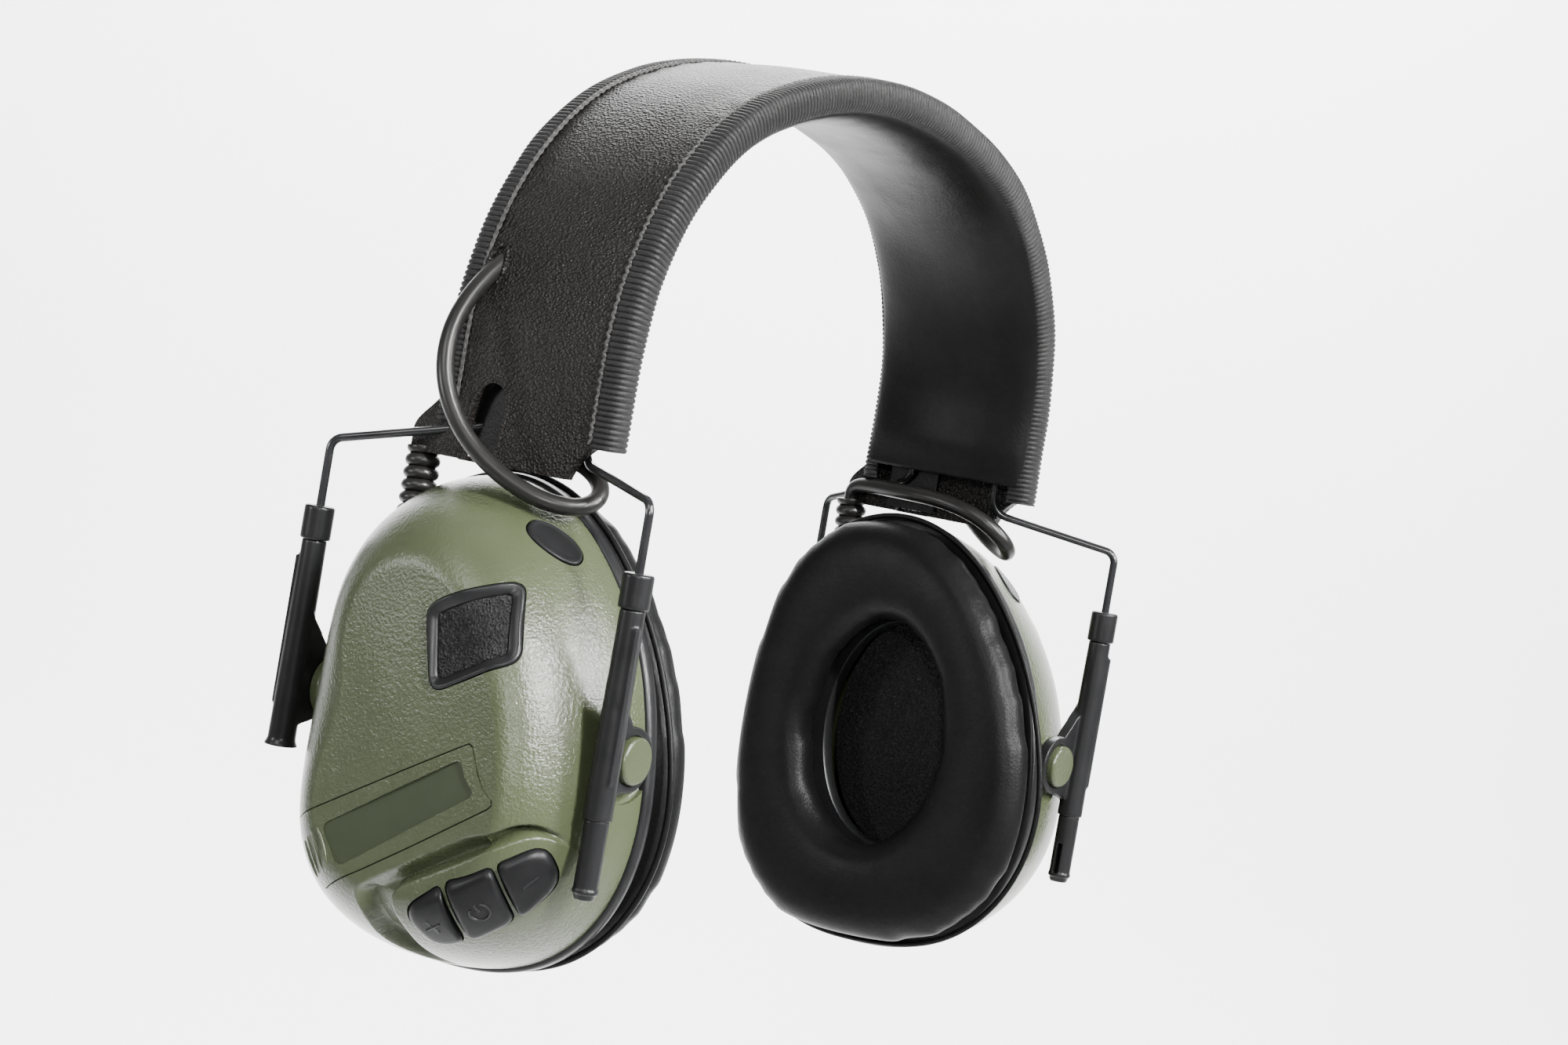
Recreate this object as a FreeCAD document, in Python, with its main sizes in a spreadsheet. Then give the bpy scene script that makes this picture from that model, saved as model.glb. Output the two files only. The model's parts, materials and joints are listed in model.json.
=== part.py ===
"""Electronic ear-defender headset with radio input: two hooked-up ear cups on a sprung, padded headband.

Frame: millimetres, +Z up, the wearer faces -Y and the wearer's right ear is at -X. The origin is midway
between the two cup pivots. The right side is modelled, and the left side is its mirror image.
"""

import FreeCAD, Part
import math
import os

import Sketcher
from FreeCAD import Placement, Rotation, Vector

DRIVING = {
    # spring wires and the arch that they follow
    "wire_radius": 1.0,
    "arch_half": 91.0,
    "arch_top": 156.0,
    "side_arc": 67.0,
    "crown_arc": 131.0,
    "wire_front": -15.0,
    "wire_rear": 11.0,
    "leg_out": 106.0,
    "leg_along": 45.2,
    "knee_height": 56.5,
    "link_front_rise": 5.0,
    "link_rear_rise": 9.5,
    "wire_foot": -8.0,
    "stop_radius": 1.28,
    "stop_length": 4.0,
    # padded strip over the crown
    "strip_width": 50.0,
    "strip_end": 65.0,
    "leather_end": 57.6,
    "cavity_half": 2.05,
    "leather_skin": 2.6,
    "pad_thick": 5.0,
    "binding_lap": 5.0,
    "binding_thick": 0.8,
    # lead
    "lead_radius": 1.8,
    "lead_along": 15.5,
    # arms
    "cap_radius": 3.5,
    "cap_height": 7.8,
    "cap_top": 41.0,
    "arm_radius": 3.0,
    "arm_bore": 1.6,
    "arm_foot": -13.0,
    "guide_length": 17.5,
    "guide_radius": 2.75,
    "ring_radius": 7.4,
    "ring_thick": 2.8,
    "ring_gap": 0.06,
    "pivot_out": 96.0,
    "pivot_radius": 5.4,
    "pivot_proud": 1.8,
    # cup shell
    "rim_out": 88.5,
    "cup_deep": 34.0,
    "cup_shoulder": 20.0,
    "cup_centre": -2.0,
    "wall": 2.2,
    "pivot_seat": 41.9,
    # ear side
    "plate_thick": 4.0,
    "cushion_thick": 13.0,
    "cushion_bulge": 2.5,
    "ear_half_wide": 20.0,
    "ear_half_tall": 29.0,
    # battery bay and keys
    "row_angle": 29.4,
    "door_length": 55.0,
    "door_width": 16.4,
    "cell_radius": 5.2,
    "cell_length": 43.3,
    "jack_radius": 1.8,
    "jack_length": 15.0,
}

doc = FreeCAD.newDocument("headset")


def make_sheet():
    """The spreadsheet of driving dimensions, one alias a row."""
    cells = doc.addObject("Spreadsheet::Sheet", "Dims")
    for row, (alias, size) in enumerate(DRIVING.items(), start=1):
        cells.set(f"A{row}", alias)
        cells.set(f"B{row}", str(size))
        cells.setAlias(f"B{row}", alias)
    doc.recompute()
    return cells


sheet = make_sheet()


def dim(alias):
    """A driving dimension, read from the sheet."""
    return float(sheet.get(alias))


# ---------------------------------------------------------------- document helpers


def along(direction, at):
    """A placement at a point whose local Z axis points in a direction."""
    return Placement(Vector(*at), Rotation(Vector(0, 0, 1), Vector(*direction)))


def feature(name, shape):
    made = doc.addObject("Part::Feature", name)
    made.Shape = shape
    return made


def solid(kind, name, placement, **sizes):
    """A Part primitive whose sizes are expressions on the sheet."""
    made = doc.addObject(f"Part::{kind}", name)
    for size, expression in sizes.items():
        made.setExpression(size, expression)
    made.Placement = placement
    return made


def cylinder(name, placement, radius, height):
    return solid("Cylinder", name, placement, Radius=radius, Height=height)


def cut(name, base, *tools):
    """base with each tool cut out of it in turn. The last cut carries the name."""
    for count, tool in enumerate(tools, start=1):
        last = count == len(tools)
        step = doc.addObject("Part::Cut", name if last else f"{name}_cut{count}")
        step.Base, step.Tool = base, tool
        step.Refine = False
        base = step
    return base


def fuse(name, *pieces):
    made = doc.addObject("Part::MultiFuse", name)
    made.Shapes = list(pieces)
    made.Refine = False
    return made


def common(name, base, tool):
    made = doc.addObject("Part::Common", name)
    made.Base, made.Tool = base, tool
    return made


def group(name, *pieces):
    """Separate solids that share one node."""
    made = doc.addObject("Part::Compound", name)
    made.Links = list(pieces)
    return made


def mirrored(name, source):
    """The wearer's left counterpart of a right-hand piece."""
    made = doc.addObject("Part::Mirroring", name)
    made.Source = source
    made.Normal = Vector(1, 0, 0)
    return made


def body_sketch(name, role="XZ_Plane"):
    """A PartDesign body with an empty sketch on one of its origin planes."""
    body = doc.addObject("PartDesign::Body", name)
    sketch = body.newObject("Sketcher::SketchObject", name + "_sketch")
    plane = next(f for f in body.Origin.OriginFeatures if f.Role == role)
    sketch.AttachmentSupport = [(plane, "")]
    sketch.MapMode = "FlatFace"
    return body, sketch


def draw_outline(sketch, points):
    """A closed outline of straight lines. Each corner is a pair of expressions on the sheet."""
    places = [
        Vector(*(float(sketch.evalExpression(e)) for e in corner), 0) for corner in points
    ]
    count = len(places)
    for i, place in enumerate(places):
        sketch.addGeometry(Part.LineSegment(place, places[(i + 1) % count]), False)
    for i in range(count):
        sketch.addConstraint(Sketcher.Constraint("Coincident", i, 2, (i + 1) % count, 1))
    for i, (place, corner) in enumerate(zip(places, points)):
        for kind, size, expression in zip(("DistanceX", "DistanceY"), place, corner):
            at = sketch.addConstraint(Sketcher.Constraint(kind, -1, 1, i, 1, size))
            sketch.setExpression(f"Constraints[{at}]", expression)


def turned(name, placement, points):
    """A body turned about its own Z axis. Points are (radius, height) expressions."""
    body, sketch = body_sketch(name)
    draw_outline(sketch, points)
    turn = body.newObject("PartDesign::Revolution", name + "_turn")
    turn.Profile = sketch
    turn.ReferenceAxis = (sketch, ["V_Axis"])
    turn.Angle = 360
    body.Placement = placement
    return body


def ring_outline(outer, inner, low, high):
    """The section of a plain ring: (radius, height) expressions."""
    return [(inner, low), (outer, low), (outer, high), (inner, high)]


# ---------------------------------------------------------------- arch of the headband


def arch_edges(offset, foot):
    """The arch, offset outwards from the wires' line, from its right foot to its left foot, at Y 0."""
    half, top = dim("arch_half"), dim("arch_top")
    side, crown = dim("side_arc"), dim("crown_arc")
    shoulder = half - side
    turn = math.asin(shoulder / (crown - side))
    spring = top - crown + (crown - side) * math.cos(turn)

    def on_side(angle, sign):
        radius = side + offset
        return Vector(
            sign * (shoulder + radius * math.cos(angle)), 0, spring + radius * math.sin(angle)
        )

    out = half + offset
    join = math.pi / 2 - turn
    points = {s: [on_side(a, s) for a in (0, join / 2, join)] for s in (-1, 1)}
    left, right = points[1], points[-1]
    return [
        Part.makeLine(Vector(-out, 0, foot), right[0]),
        Part.Arc(*right).toShape(),
        Part.Arc(right[2], Vector(0, 0, top + offset), left[2]).toShape(),
        Part.Arc(*reversed(left)).toShape(),
        Part.makeLine(left[0], Vector(out, 0, foot)),
    ]


def arch_spring():
    """The height where the straight legs of the arch end."""
    shoulder = dim("arch_half") - dim("side_arc")
    rise = dim("crown_arc") - dim("side_arc")
    return dim("arch_top") - dim("crown_arc") + math.sqrt(rise**2 - shoulder**2)


def arch_strip(low, high, near, far, foot):
    """A solid strip of the arch between two offsets, from one Y to another."""
    outer = arch_edges(high, foot)
    inner = arch_edges(low, foot)
    ends = [
        Part.makeLine(outer[0].Vertexes[0].Point, inner[0].Vertexes[0].Point),
        Part.makeLine(outer[-1].Vertexes[-1].Point, inner[-1].Vertexes[-1].Point),
    ]
    loop = Part.Wire(Part.__sortEdges__(outer + inner + ends))
    face = Part.Face(loop)
    face.translate(Vector(0, near, 0))
    return face.extrude(Vector(0, far - near, 0))


# ---------------------------------------------------------------- bent wires and leads


def rounded_route(points, radii):
    """Straight runs through points joined by tangent arcs. radii holds the arcs whose radius is chosen,
    by the number of the corner. The others are as large as their two runs allow."""
    edges, radii_used = [], []
    start = points[0]
    for i in range(1, len(points) - 1):
        back = points[i - 1] - points[i]
        ahead = points[i + 1] - points[i]
        turn = math.pi - back.getAngle(ahead)
        reach = 0.45 * min(back.Length, ahead.Length)
        radius = reach / math.tan(turn / 2)
        if i - 1 in radii:
            radius = radii[i - 1]
            reach = radius * math.tan(turn / 2)
        back.normalize()
        ahead.normalize()
        first, last = points[i] + back * reach, points[i] + ahead * reach
        bisector = (back + ahead).normalize()
        middle = points[i] + bisector * (radius / math.cos(turn / 2) - radius)
        edges.append(Part.makeLine(start, first))
        edges.append(Part.Arc(first, middle, last).toShape())
        radii_used.append(radius)
        start = last
    edges.append(Part.makeLine(start, points[-1]))
    return edges, radii_used


def swept(edges, radius, inner=0.0):
    """A round bar, or a tube, along edges that follow each other."""
    path = Part.Wire(edges)
    first = path.Edges[0]
    at, direction = first.valueAt(first.FirstParameter), first.tangentAt(first.FirstParameter)
    outer = path.makePipeShell([Part.Wire(Part.makeCircle(radius, at, direction))], True, False)
    if not inner:
        return outer
    core = path.makePipeShell([Part.Wire(Part.makeCircle(inner, at, direction))], True, False)
    return outer.cut(core)


def mirror_edges(edges):
    """The same edges on the wearer's left."""
    return [e.mirror(Vector(), Vector(1, 0, 0)) for e in edges]


def make_spring_wire(name, leg_side, inner_along, rise):
    """One spring wire: up out of the right arm, over the crown inside the strip, down into the left arm."""
    half, out = dim("arch_half"), dim("leg_out")
    leg = leg_side * dim("leg_along")
    knee = dim("knee_height")
    bend, tight = 5.0, 3.2
    points = [
        Vector(-out, leg, dim("wire_foot")),
        Vector(-out, leg, knee),
        Vector(-half, inner_along, knee + rise),
        Vector(-half, inner_along, arch_spring()),
    ]
    right, _ = rounded_route(points, {0: tight, 1: bend})
    arch = arch_edges(0.0, arch_spring() - 1.0)[1:-1]
    for edge in arch:
        edge.translate(Vector(0, inner_along, 0))
    left = [e.reversed() for e in reversed(mirror_edges(right))]
    shape = swept(right + arch + left, dim("wire_radius"))
    return feature(name, shape)


BOOT_FOOT = Vector(-94.0, 27.0, 33.0)
BOOT_TIP = Vector(-92.4, 29.0, 57.4)
RIGHT_LEAD = [
    (-86.5, 13.0, 62.6),
    (-85.0, -3.0, 62.8),
    (-86.0, -15.0, 60.0),
    (-90.0, -21.5, 54.6),
    (-96.5, -19.5, 50.9),
    (-102.5, -12.0, 52.0),
    (-106.0, -3.0, 56.0),
    (-108.5, 5.0, 62.0),
    (-110.0, 10.5, 69.5),
    (-109.8, 14.0, 77.5),
    (-107.0, 16.0, 86.0),
    (-101.5, 16.5, 94.0),
    (-94.5, 16.0, 101.0),
    (-87.8, 15.5, 106.0),
]


def make_leads():
    """The lead that joins the cups: a loop on each side, and the stretch inside the strip."""
    radius = dim("lead_radius")
    rise = (BOOT_TIP - BOOT_FOOT).normalize()
    first = [BOOT_TIP + rise * 0.02, BOOT_TIP + rise * 5.4]
    edges, radii = rounded_route(first + [Vector(*p) for p in RIGHT_LEAD], {0: 4.6})
    loop = swept(edges, radius)
    length = sum(e.Length for e in edges)
    expected = math.pi * radius**2 * length
    print("lead radii", [round(r, 1) for r in radii], "loop", round(length, 1), "mm")
    print("lead volume ratio", round(loop.Volume / expected, 4))
    right = feature("right_lead", loop)
    end = Vector(*RIGHT_LEAD[-1])
    hidden = arch_edges(0.0, arch_spring() - 1.0)[1:-1]
    for edge in hidden:
        edge.translate(Vector(0, dim("lead_along"), 0))
    inside = swept(hidden, radius)
    keep = Part.makeBox(400, 400, 400, Vector(-200, -200, end.z + 3.0))
    band = feature("band_lead", inside.common(keep))
    return right, mirrored("left_lead", right), band


def make_wire_stops():
    """The crimped stop on each wire's foot, four of them."""
    stops = []
    for x in (-1, 1):
        for y in (-1, 1):
            at = (x * dim("leg_out"), y * dim("leg_along"), dim("wire_foot") + 1.0)
            outline = ring_outline("Dims.stop_radius", "Dims.wire_radius", "0", "Dims.stop_length")
            stops.append(turned(f"wire_stop_{x + 1}{y + 1}", along((0, 0, 1), at), outline))
    return group("wire_stops", *stops)


# ---------------------------------------------------------------- padded strip


def stadium(length, width, low, high):
    """A slot-shaped prism about the local Z axis, its long side along local X."""
    straight = max(length - width, 0.01)
    block = Part.makeBox(straight, width, high - low, Vector(-straight / 2, -width / 2, low))
    ends = [
        Part.makeCylinder(width / 2, high - low, Vector(x, 0, low))
        for x in (-straight / 2, straight / 2)
    ]
    return block.fuse(ends).removeSplitter()


def make_leather():
    """The outer leather of the strip, with a slotted end and a scooped front corner at each foot."""
    half = dim("strip_width") / 2 - dim("binding_thick")
    low, high = dim("cavity_half"), dim("cavity_half") + dim("leather_skin")
    end = dim("leather_end")
    form = feature("leather_form", arch_strip(low, high, -half, half, end))
    slot = stadium(21.0, 9.5, -20, 20)
    corner = Part.makeCylinder(15.0, 40, Vector(0, 0, -20))
    tools = []
    for sign, side in ((-1, "right"), (1, "left")):
        slotted = feature(f"leather_slot_{side}", slot)
        tilt = Rotation(Vector(1, 0, 0), -12)
        upright = tilt.multiply(Rotation(Vector(0, 1, 0), 90))
        slotted.Placement = Placement(Vector(sign * dim("arch_half"), 9.0, 66.5), upright)
        scoop = feature(f"leather_scoop_{side}", corner)
        scoop.Placement = Placement(
            Vector(sign * dim("arch_half"), -half - 4.0, end - 2.5), Rotation(Vector(0, 1, 0), 90)
        )
        eyelet = feature(f"leather_eyelet_{side}", Part.makeCylinder(dim("lead_radius") + 0.6, 20))
        direction = Vector(*RIGHT_LEAD[-1]) - Vector(*RIGHT_LEAD[-2])
        at = Vector(*RIGHT_LEAD[-2]) - direction.normalize() * 5
        if sign > 0:
            direction.x, at.x = -direction.x, -at.x
        eyelet.Placement = along(direction, at)
        trim = feature(f"leather_trim_{side}", Part.makeBox(20, 10, 10))
        trim.Placement = Placement(
            Vector(sign * dim("arch_half") - 10, 20.5, end - 4.0), Rotation(Vector(1, 0, 0), 12)
        )
        tools += [slotted, scoop, eyelet, trim, leather_channel(side, sign)]
    return cut("headband_leather", form, *tools)


def leather_channel(side, sign):
    """The channel through which the rear wire leaves the strip."""
    inner = Vector(sign * dim("arch_half"), dim("wire_rear"), dim("knee_height") + dim("link_rear_rise"))
    outer = Vector(sign * dim("leg_out"), dim("leg_along"), dim("knee_height"))
    run = outer - inner
    name = f"leather_channel_{side}"
    return cylinder(name, along(run, inner), "Dims.wire_radius + 0.7", f"{run.Length * 0.6}")


def make_pad():
    """The foam-filled lining on the head side of the strip."""
    half = dim("strip_width") / 2 - dim("binding_thick")
    high = -dim("cavity_half")
    shape = arch_strip(high - dim("pad_thick"), high, -half, half, dim("strip_end"))
    clearance = Part.makeBox(400, 60, 8, Vector(-200, -30, dim("strip_end") - 4))
    return feature("headband_pad", shape.cut(clearance))


def make_bindings():
    """The ribbed tape folded over each long edge of the strip."""
    edge = dim("strip_width") / 2
    thick, lap = dim("binding_thick"), dim("binding_lap")
    low = -dim("cavity_half") - dim("pad_thick")
    high = dim("cavity_half") + dim("leather_skin")
    foot = dim("strip_end")
    made = []
    for side, sign in (("front", -1), ("rear", 1)):
        near, far = sorted((sign * edge, sign * (edge - lap)))
        around = arch_strip(low - thick, high + thick, near, far, foot)
        core_near, core_far = sorted((sign * (edge - thick), sign * (edge - lap - 5)))
        core = arch_strip(low - 0.02, high + 0.02, core_near, core_far, foot - 5)
        made.append(feature(f"binding_{side}", around.cut(core)))
    return made


# ---------------------------------------------------------------- arms


def arm_placement(side, height):
    return along((0, 0, 1), (-dim("leg_out"), side * dim("leg_along"), height))


def make_arm(name, side, flared):
    """One moulded arm: a tube round the wire's leg, and a ring that turns on the cup's pivot."""
    foot = dim("arm_foot")
    top = dim("cap_top") - dim("cap_height")
    leg = side * dim("leg_along")
    tube = solid(
        "Cone",
        name + "_tube",
        arm_placement(side, foot),
        Radius1="Dims.arm_radius * 1.08",
        Radius2="Dims.arm_radius * 0.95",
        Height="Dims.cap_top - Dims.cap_height - Dims.arm_foot",
    )
    centre = Vector(-dim("pivot_out"), side * (dim("pivot_seat") + 0.1), 0)
    ring = cylinder(name + "_ring", along((0, side, 0), centre), "Dims.ring_radius", "Dims.ring_thick")
    reach = dim("leg_out") - dim("pivot_out")
    thick = dim("ring_thick")
    corners = [
        Vector(-reach, 0, 17),
        Vector(-reach, 0, -9.5),
        Vector(-1, 0, -dim("ring_radius") + 0.2),
        Vector(-1, 0, dim("ring_radius") - 0.2),
    ]
    web_face = Part.Face(Part.makePolygon(corners + corners[:1]))
    web = feature(name + "_web", web_face.extrude(Vector(0, side * thick, 0)))
    web.Placement = Placement(centre, Rotation())
    rib_face = Part.makeBox(1.6, 1.2, top - foot - 12)
    rib = feature(name + "_rib", rib_face)
    rib_along = leg + side * (dim("arm_radius") - 1.05) - (1.2 if side < 0 else 0)
    rib.Placement = Placement(Vector(-dim("leg_out") - 2.0, rib_along, foot + 8), Rotation())
    pieces = [tube, ring, web, rib]
    if flared:
        flare = solid(
            "Cone",
            name + "_flare",
            arm_placement(side, foot - 1.6),
            Radius1="Dims.arm_radius * 1.32",
            Radius2="Dims.arm_radius * 1.08",
            Height="1.6",
        )
        pieces.append(flare)
    whole = fuse(name + "_whole", *pieces)
    bore = cylinder(
        name + "_bore",
        arm_placement(side, foot - 5),
        "Dims.arm_bore",
        "Dims.cap_top - Dims.arm_foot + 5",
    )
    eye = cylinder(
        name + "_eye",
        along((0, side, 0), centre - Vector(0, side * 2, 0)),
        "Dims.pivot_radius + Dims.ring_gap",
        "Dims.ring_thick + 4",
    )
    return cut(name, whole, bore, eye)


def make_arm_cap(name, side):
    """The collar on an arm's top, whose narrow bore grips the wire."""
    outline = [
        ("Dims.wire_radius + 0.05", "0"),
        ("Dims.cap_radius - 0.25", "0"),
        ("Dims.cap_radius", "0.25"),
        ("Dims.cap_radius", "Dims.cap_height - 0.35"),
        ("Dims.cap_radius - 0.35", "Dims.cap_height"),
        ("Dims.wire_radius + 0.05", "Dims.cap_height"),
    ]
    return turned(name, arm_placement(side, dim("cap_top") - dim("cap_height")), outline)


def make_end_guide(name, side):
    """The slotted tube plugged into the foot of the front arm."""
    outline = [
        ("Dims.arm_bore", "-Dims.guide_length"),
        ("Dims.guide_radius - 0.6", "-Dims.guide_length"),
        ("Dims.guide_radius - 0.1", "-Dims.guide_length + 1.4"),
        ("Dims.guide_radius + 0.2", "-Dims.guide_length + 1.5"),
        ("Dims.guide_radius + 0.2", "-Dims.guide_length + 2.2"),
        ("Dims.guide_radius", "-Dims.guide_length + 2.3"),
        ("Dims.guide_radius", "0"),
        ("Dims.arm_bore", "0"),
    ]
    tube = turned(name + "_tube", arm_placement(side, dim("arm_foot")), outline)
    slot_foot = dim("arm_foot") - dim("guide_length") + 2.2
    slot = solid(
        "Box",
        name + "_slot",
        Placement(
            Vector(-dim("leg_out"), side * dim("leg_along") - 0.7, slot_foot), Rotation()
        ),
        Length="Dims.guide_radius + 1",
        Width="1.4",
        Height="8",
    )
    return cut(name, tube, slot)


# ---------------------------------------------------------------- cup shell


CUP_RADII = (56.8, 48.7, 43.3, 43.0, 48.6, 53.4, 53.2, 53.2, 45.0, 40.8, 45.0, 55.4)
CUP_STATIONS = (0.0, 0.14, 0.32, 0.52, 0.70, 0.85, 0.95, 1.0)


def egg_wire(inset, share, out, right=True):
    """One outline of the cup, at |X| = out. CUP_RADII go round the rim every 30 degrees from the top,
    forwards first. share is how far across the shoulder the outline lies, 0 at the rim and 1 at the
    flat face, and inset is how far it is drawn in all round."""
    points = []
    for i, radius in enumerate(CUP_RADII):
        angle = 2 * math.pi * i / len(CUP_RADII)
        across, up = math.sin(angle), math.cos(angle)
        drawn = 1 - (1 - share**1.6) ** (1 / 1.6)
        reach = radius - inset - drawn * (dim("cup_shoulder") - 4.2 * across + 1.7 * up)
        x = -out if right else out
        points.append(Vector(x, -reach * across, dim("cup_centre") + reach * up))
    curve = Part.BSplineCurve()
    curve.interpolate(Points=points, PeriodicFlag=True)
    first, last = curve.FirstParameter, curve.LastParameter
    middle = (first + last) / 2
    return Part.Wire([curve.toShape(first, middle), curve.toShape(middle, last)])


def cup_form(wall, right=True):
    """The cup's outer form, or the form of its hollow inside a wall, as a lofted solid."""
    rim, deep = dim("rim_out"), dim("cup_deep") - wall
    wires = [egg_wire(wall, share, rim + share * deep, right) for share in CUP_STATIONS]
    return Part.makeLoft(wires, True, False)


def row_frame(out, along_y, up, lift, lean=0.0):
    """A placement on the cup's face: local X runs forwards up the slant, which can lean by some degrees
    more, and local Z points outwards."""
    slant = math.radians(dim("row_angle") + lean)
    forward = Vector(0, -math.cos(slant), math.sin(slant))
    outward = Vector(*lift).normalize()
    across = outward.cross(forward).normalize()
    forward = across.cross(outward)
    matrix = FreeCAD.Matrix(
        forward.x, across.x, outward.x, out,
        forward.y, across.y, outward.y, along_y,
        forward.z, across.z, outward.z, up,
        0, 0, 0, 1,
    )
    return Placement(matrix)


DOOR_AT = (-122.5, -0.5, -21.5, (-1, 0, 0))
KEYS_AT = (-117.6, -26.4, -33.6, (-0.68, -0.53, -0.50))
WINDOW_AT = (-120.8, -14.4, 21.6, (-0.93, -0.26, 0.20), -4.0)
PLUG_AT = (-100.5, -17.7, 44.4, (-0.30, -0.60, 0.72), -55.0)
KEY_PITCH = 12.0
SCREWS = ((-19, 33), (19, 33), (-34, -11), (27, -33))


def placed(name, shape, place):
    made = feature(name, shape)
    made.Placement = row_frame(*place)
    return made


def door_prism(name, grow):
    """The battery door's outline as a prism, run out past the rear of the cup."""
    length, width = dim("door_length") + grow, dim("door_width") + 2 * grow
    run_out = 20.0
    block = Part.makeBox(
        length + run_out, width, 30, Vector(-length / 2 - run_out + grow / 2, -width / 2, -6)
    )
    return placed(name, block, DOOR_AT)


def window_wire(grow):
    """The slanted four-sided outline of the microphone window in its own plane."""
    corners = [(-12.0, -10.4), (10.4, -8.8), (13.2, 10.0), (-9.2, 8.8)]
    middle = Vector(-0.3, 0.3, 0)
    places = []
    for x, y in corners:
        spoke = Vector(x, y, 0) - middle
        places.append(Vector(x, y, 0) + spoke.normalize() * grow * 1.35)
    face = Part.Face(Part.makePolygon(places + places[:1]))
    return face


def window_prism(grow, low, high, rounding):
    block = window_wire(grow)
    block.translate(Vector(0, 0, low))
    block = block.extrude(Vector(0, 0, high - low))
    upright = [e for e in block.Edges if abs(e.tangentAt(0).z) > 0.99]
    return block.makeFillet(rounding, upright)


def shell_fillers(name):
    """What stands inside the shell, on the right: pivot seats, then whatever is trimmed to its form."""
    seats, trimmed = [], []
    for side in (-1, 1):
        seat = cylinder(
            f"{name}_seat_{side + 1}",
            along((0, side, 0), (-dim("pivot_out"), side * 34.0, 0)),
            "Dims.ring_radius",
            "Dims.pivot_seat - 34",
        )
        seats.append(seat)
    for count, (y, z) in enumerate(SCREWS):
        foot = (-dim("rim_out") - 0.2, y, z)
        trimmed.append(cylinder(f"{name}_post_{count}", along((-1, 0, 0), foot), "3", "45"))
    trimmed.append(placed(name + "_window_back", window_prism(3.6, -5.7, 12, 3.0), WINDOW_AT))
    trimmed.append(placed(name + "_plug_back", stadium(20, 12, -6, 12), PLUG_AT))
    return seats, trimmed


def shell_tools(name):
    """What is cut out of either shell, on the right."""
    tools = [
        placed(name + "_window_cut", window_prism(0.25, -3.2, 20, 3.0), WINDOW_AT),
        placed(name + "_window_port", window_prism(-5.0, -20, 20, 1.0), WINDOW_AT),
        placed(name + "_plug_cut", stadium(13.4, 7.2, -2.4, 20), PLUG_AT),
        cylinder(name + "_lead_hole", along(BOOT_RUN, BOOT_FOOT), "3.0", "25"),
    ]
    for side in (-1, 1):
        at = (-dim("pivot_out"), side * 33.0, 0)
        tools.append(cylinder(f"{name}_pin_hole_{side + 1}", along((0, side, 0), at), "3", "20"))
        at = (-dim("pivot_out"), side * dim("pivot_seat"), 0)
        tools.append(cylinder(f"{name}_ring_room_{side + 1}", along((0, side, 0), at), "10", "10"))
    for count, (y, z) in enumerate(SCREWS):
        place = along((-1, 0, 0), (-80, y, z))
        tools.append(cylinder(f"{name}_screw_hole_{count}", place, "1.1", "22"))
    return tools


def shell_form(name, right):
    """The shell's outer form, and that form hollowed."""
    wall = dim("wall")
    mouth = Part.Face(egg_wire(wall, 0.0, dim("rim_out"), right))
    mouth = mouth.extrude(Vector(10 if right else -10, 0, 0))
    outer = feature(name + "_outer", cup_form(0.0, right))
    inner = feature(name + "_inner", cup_form(wall, right).fuse(mouth))
    return outer, cut(name + "_hollow", outer, inner)


def make_left_shell():
    """The left shell has no keys or door. It has the socket's hole."""
    name = "left_shell"
    outer, hollow = shell_form(name, False)
    seats, trimmed = ([mirrored(o.Label + "_left", o) for o in g] for g in shell_fillers(name))
    pieces = [hollow, *seats]
    pieces += [common(o.Label + "_in", o, outer) for o in trimmed]
    tools = [mirrored(o.Label + "_left", o) for o in shell_tools(name)]
    jack_at = Vector(-JACK_AT.x, JACK_AT.y, JACK_AT.z - 5)
    tools.append(cylinder(name + "_jack_hole", along((0, 0, 1), jack_at), "3.45", "25"))
    return cut(name, fuse(name + "_body", *pieces), *tools)


def make_right_shell():
    """The right shell has a scoop with an island for the keys, and the battery door's opening."""
    name = "right_shell"
    outer, hollow = shell_form(name, True)
    seats, trimmed = shell_fillers(name)
    trimmed.append(placed(name + "_keys_back", stadium(46, 24.8, -8.5, 20), KEYS_AT))
    pieces = [hollow, *seats]
    pieces += [common(o.Label + "_in", o, outer) for o in trimmed]
    tools = shell_tools(name)
    tools.append(placed(name + "_keys_cut", stadium(43, 21.8, -5.2, 30), KEYS_AT))
    tools.append(door_prism(name + "_door_cut", 0.25))
    body = cut(name + "_open", fuse(name + "_body", *pieces), *tools)
    island = placed(name + "_island", stadium(40, 16, -7.5, -2.2), KEYS_AT)
    holes = []
    for count in (-1, 0, 1):
        hole = Part.makeBox(11.2, 11.3, 30, Vector(count * KEY_PITCH - 5.6, -5.65, -15))
        holes.append(placed(f"{name}_key_hole_{count + 1}", hole, KEYS_AT))
    return cut(name, fuse(name + "_with_island", body, island), *holes)


# ---------------------------------------------------------------- pieces of one cup

BOOT_RUN = BOOT_TIP - BOOT_FOOT
JACK_AT = Vector(-100.0, 6.0, -53.6)


def make_base_plate():
    """The black plate that closes the cup, with the ear opening."""
    rim = dim("rim_out")
    outline = egg_wire(0.6, 0.0, rim)
    plate = Part.Face(outline).extrude(Vector(dim("plate_thick"), 0, 0))
    tools = [ear_prism("plate_opening", 0.0, rim + 5, 20)]
    body = feature("right_plate_blank", plate)
    for count, (y, z) in enumerate(SCREWS):
        place = along((1, 0, 0), (-rim - 1, y, z))
        tools.append(cylinder(f"plate_screw_hole_{count}", place, "1.5", "10"))
    return cut("right_base_plate", body, *tools)


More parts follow.
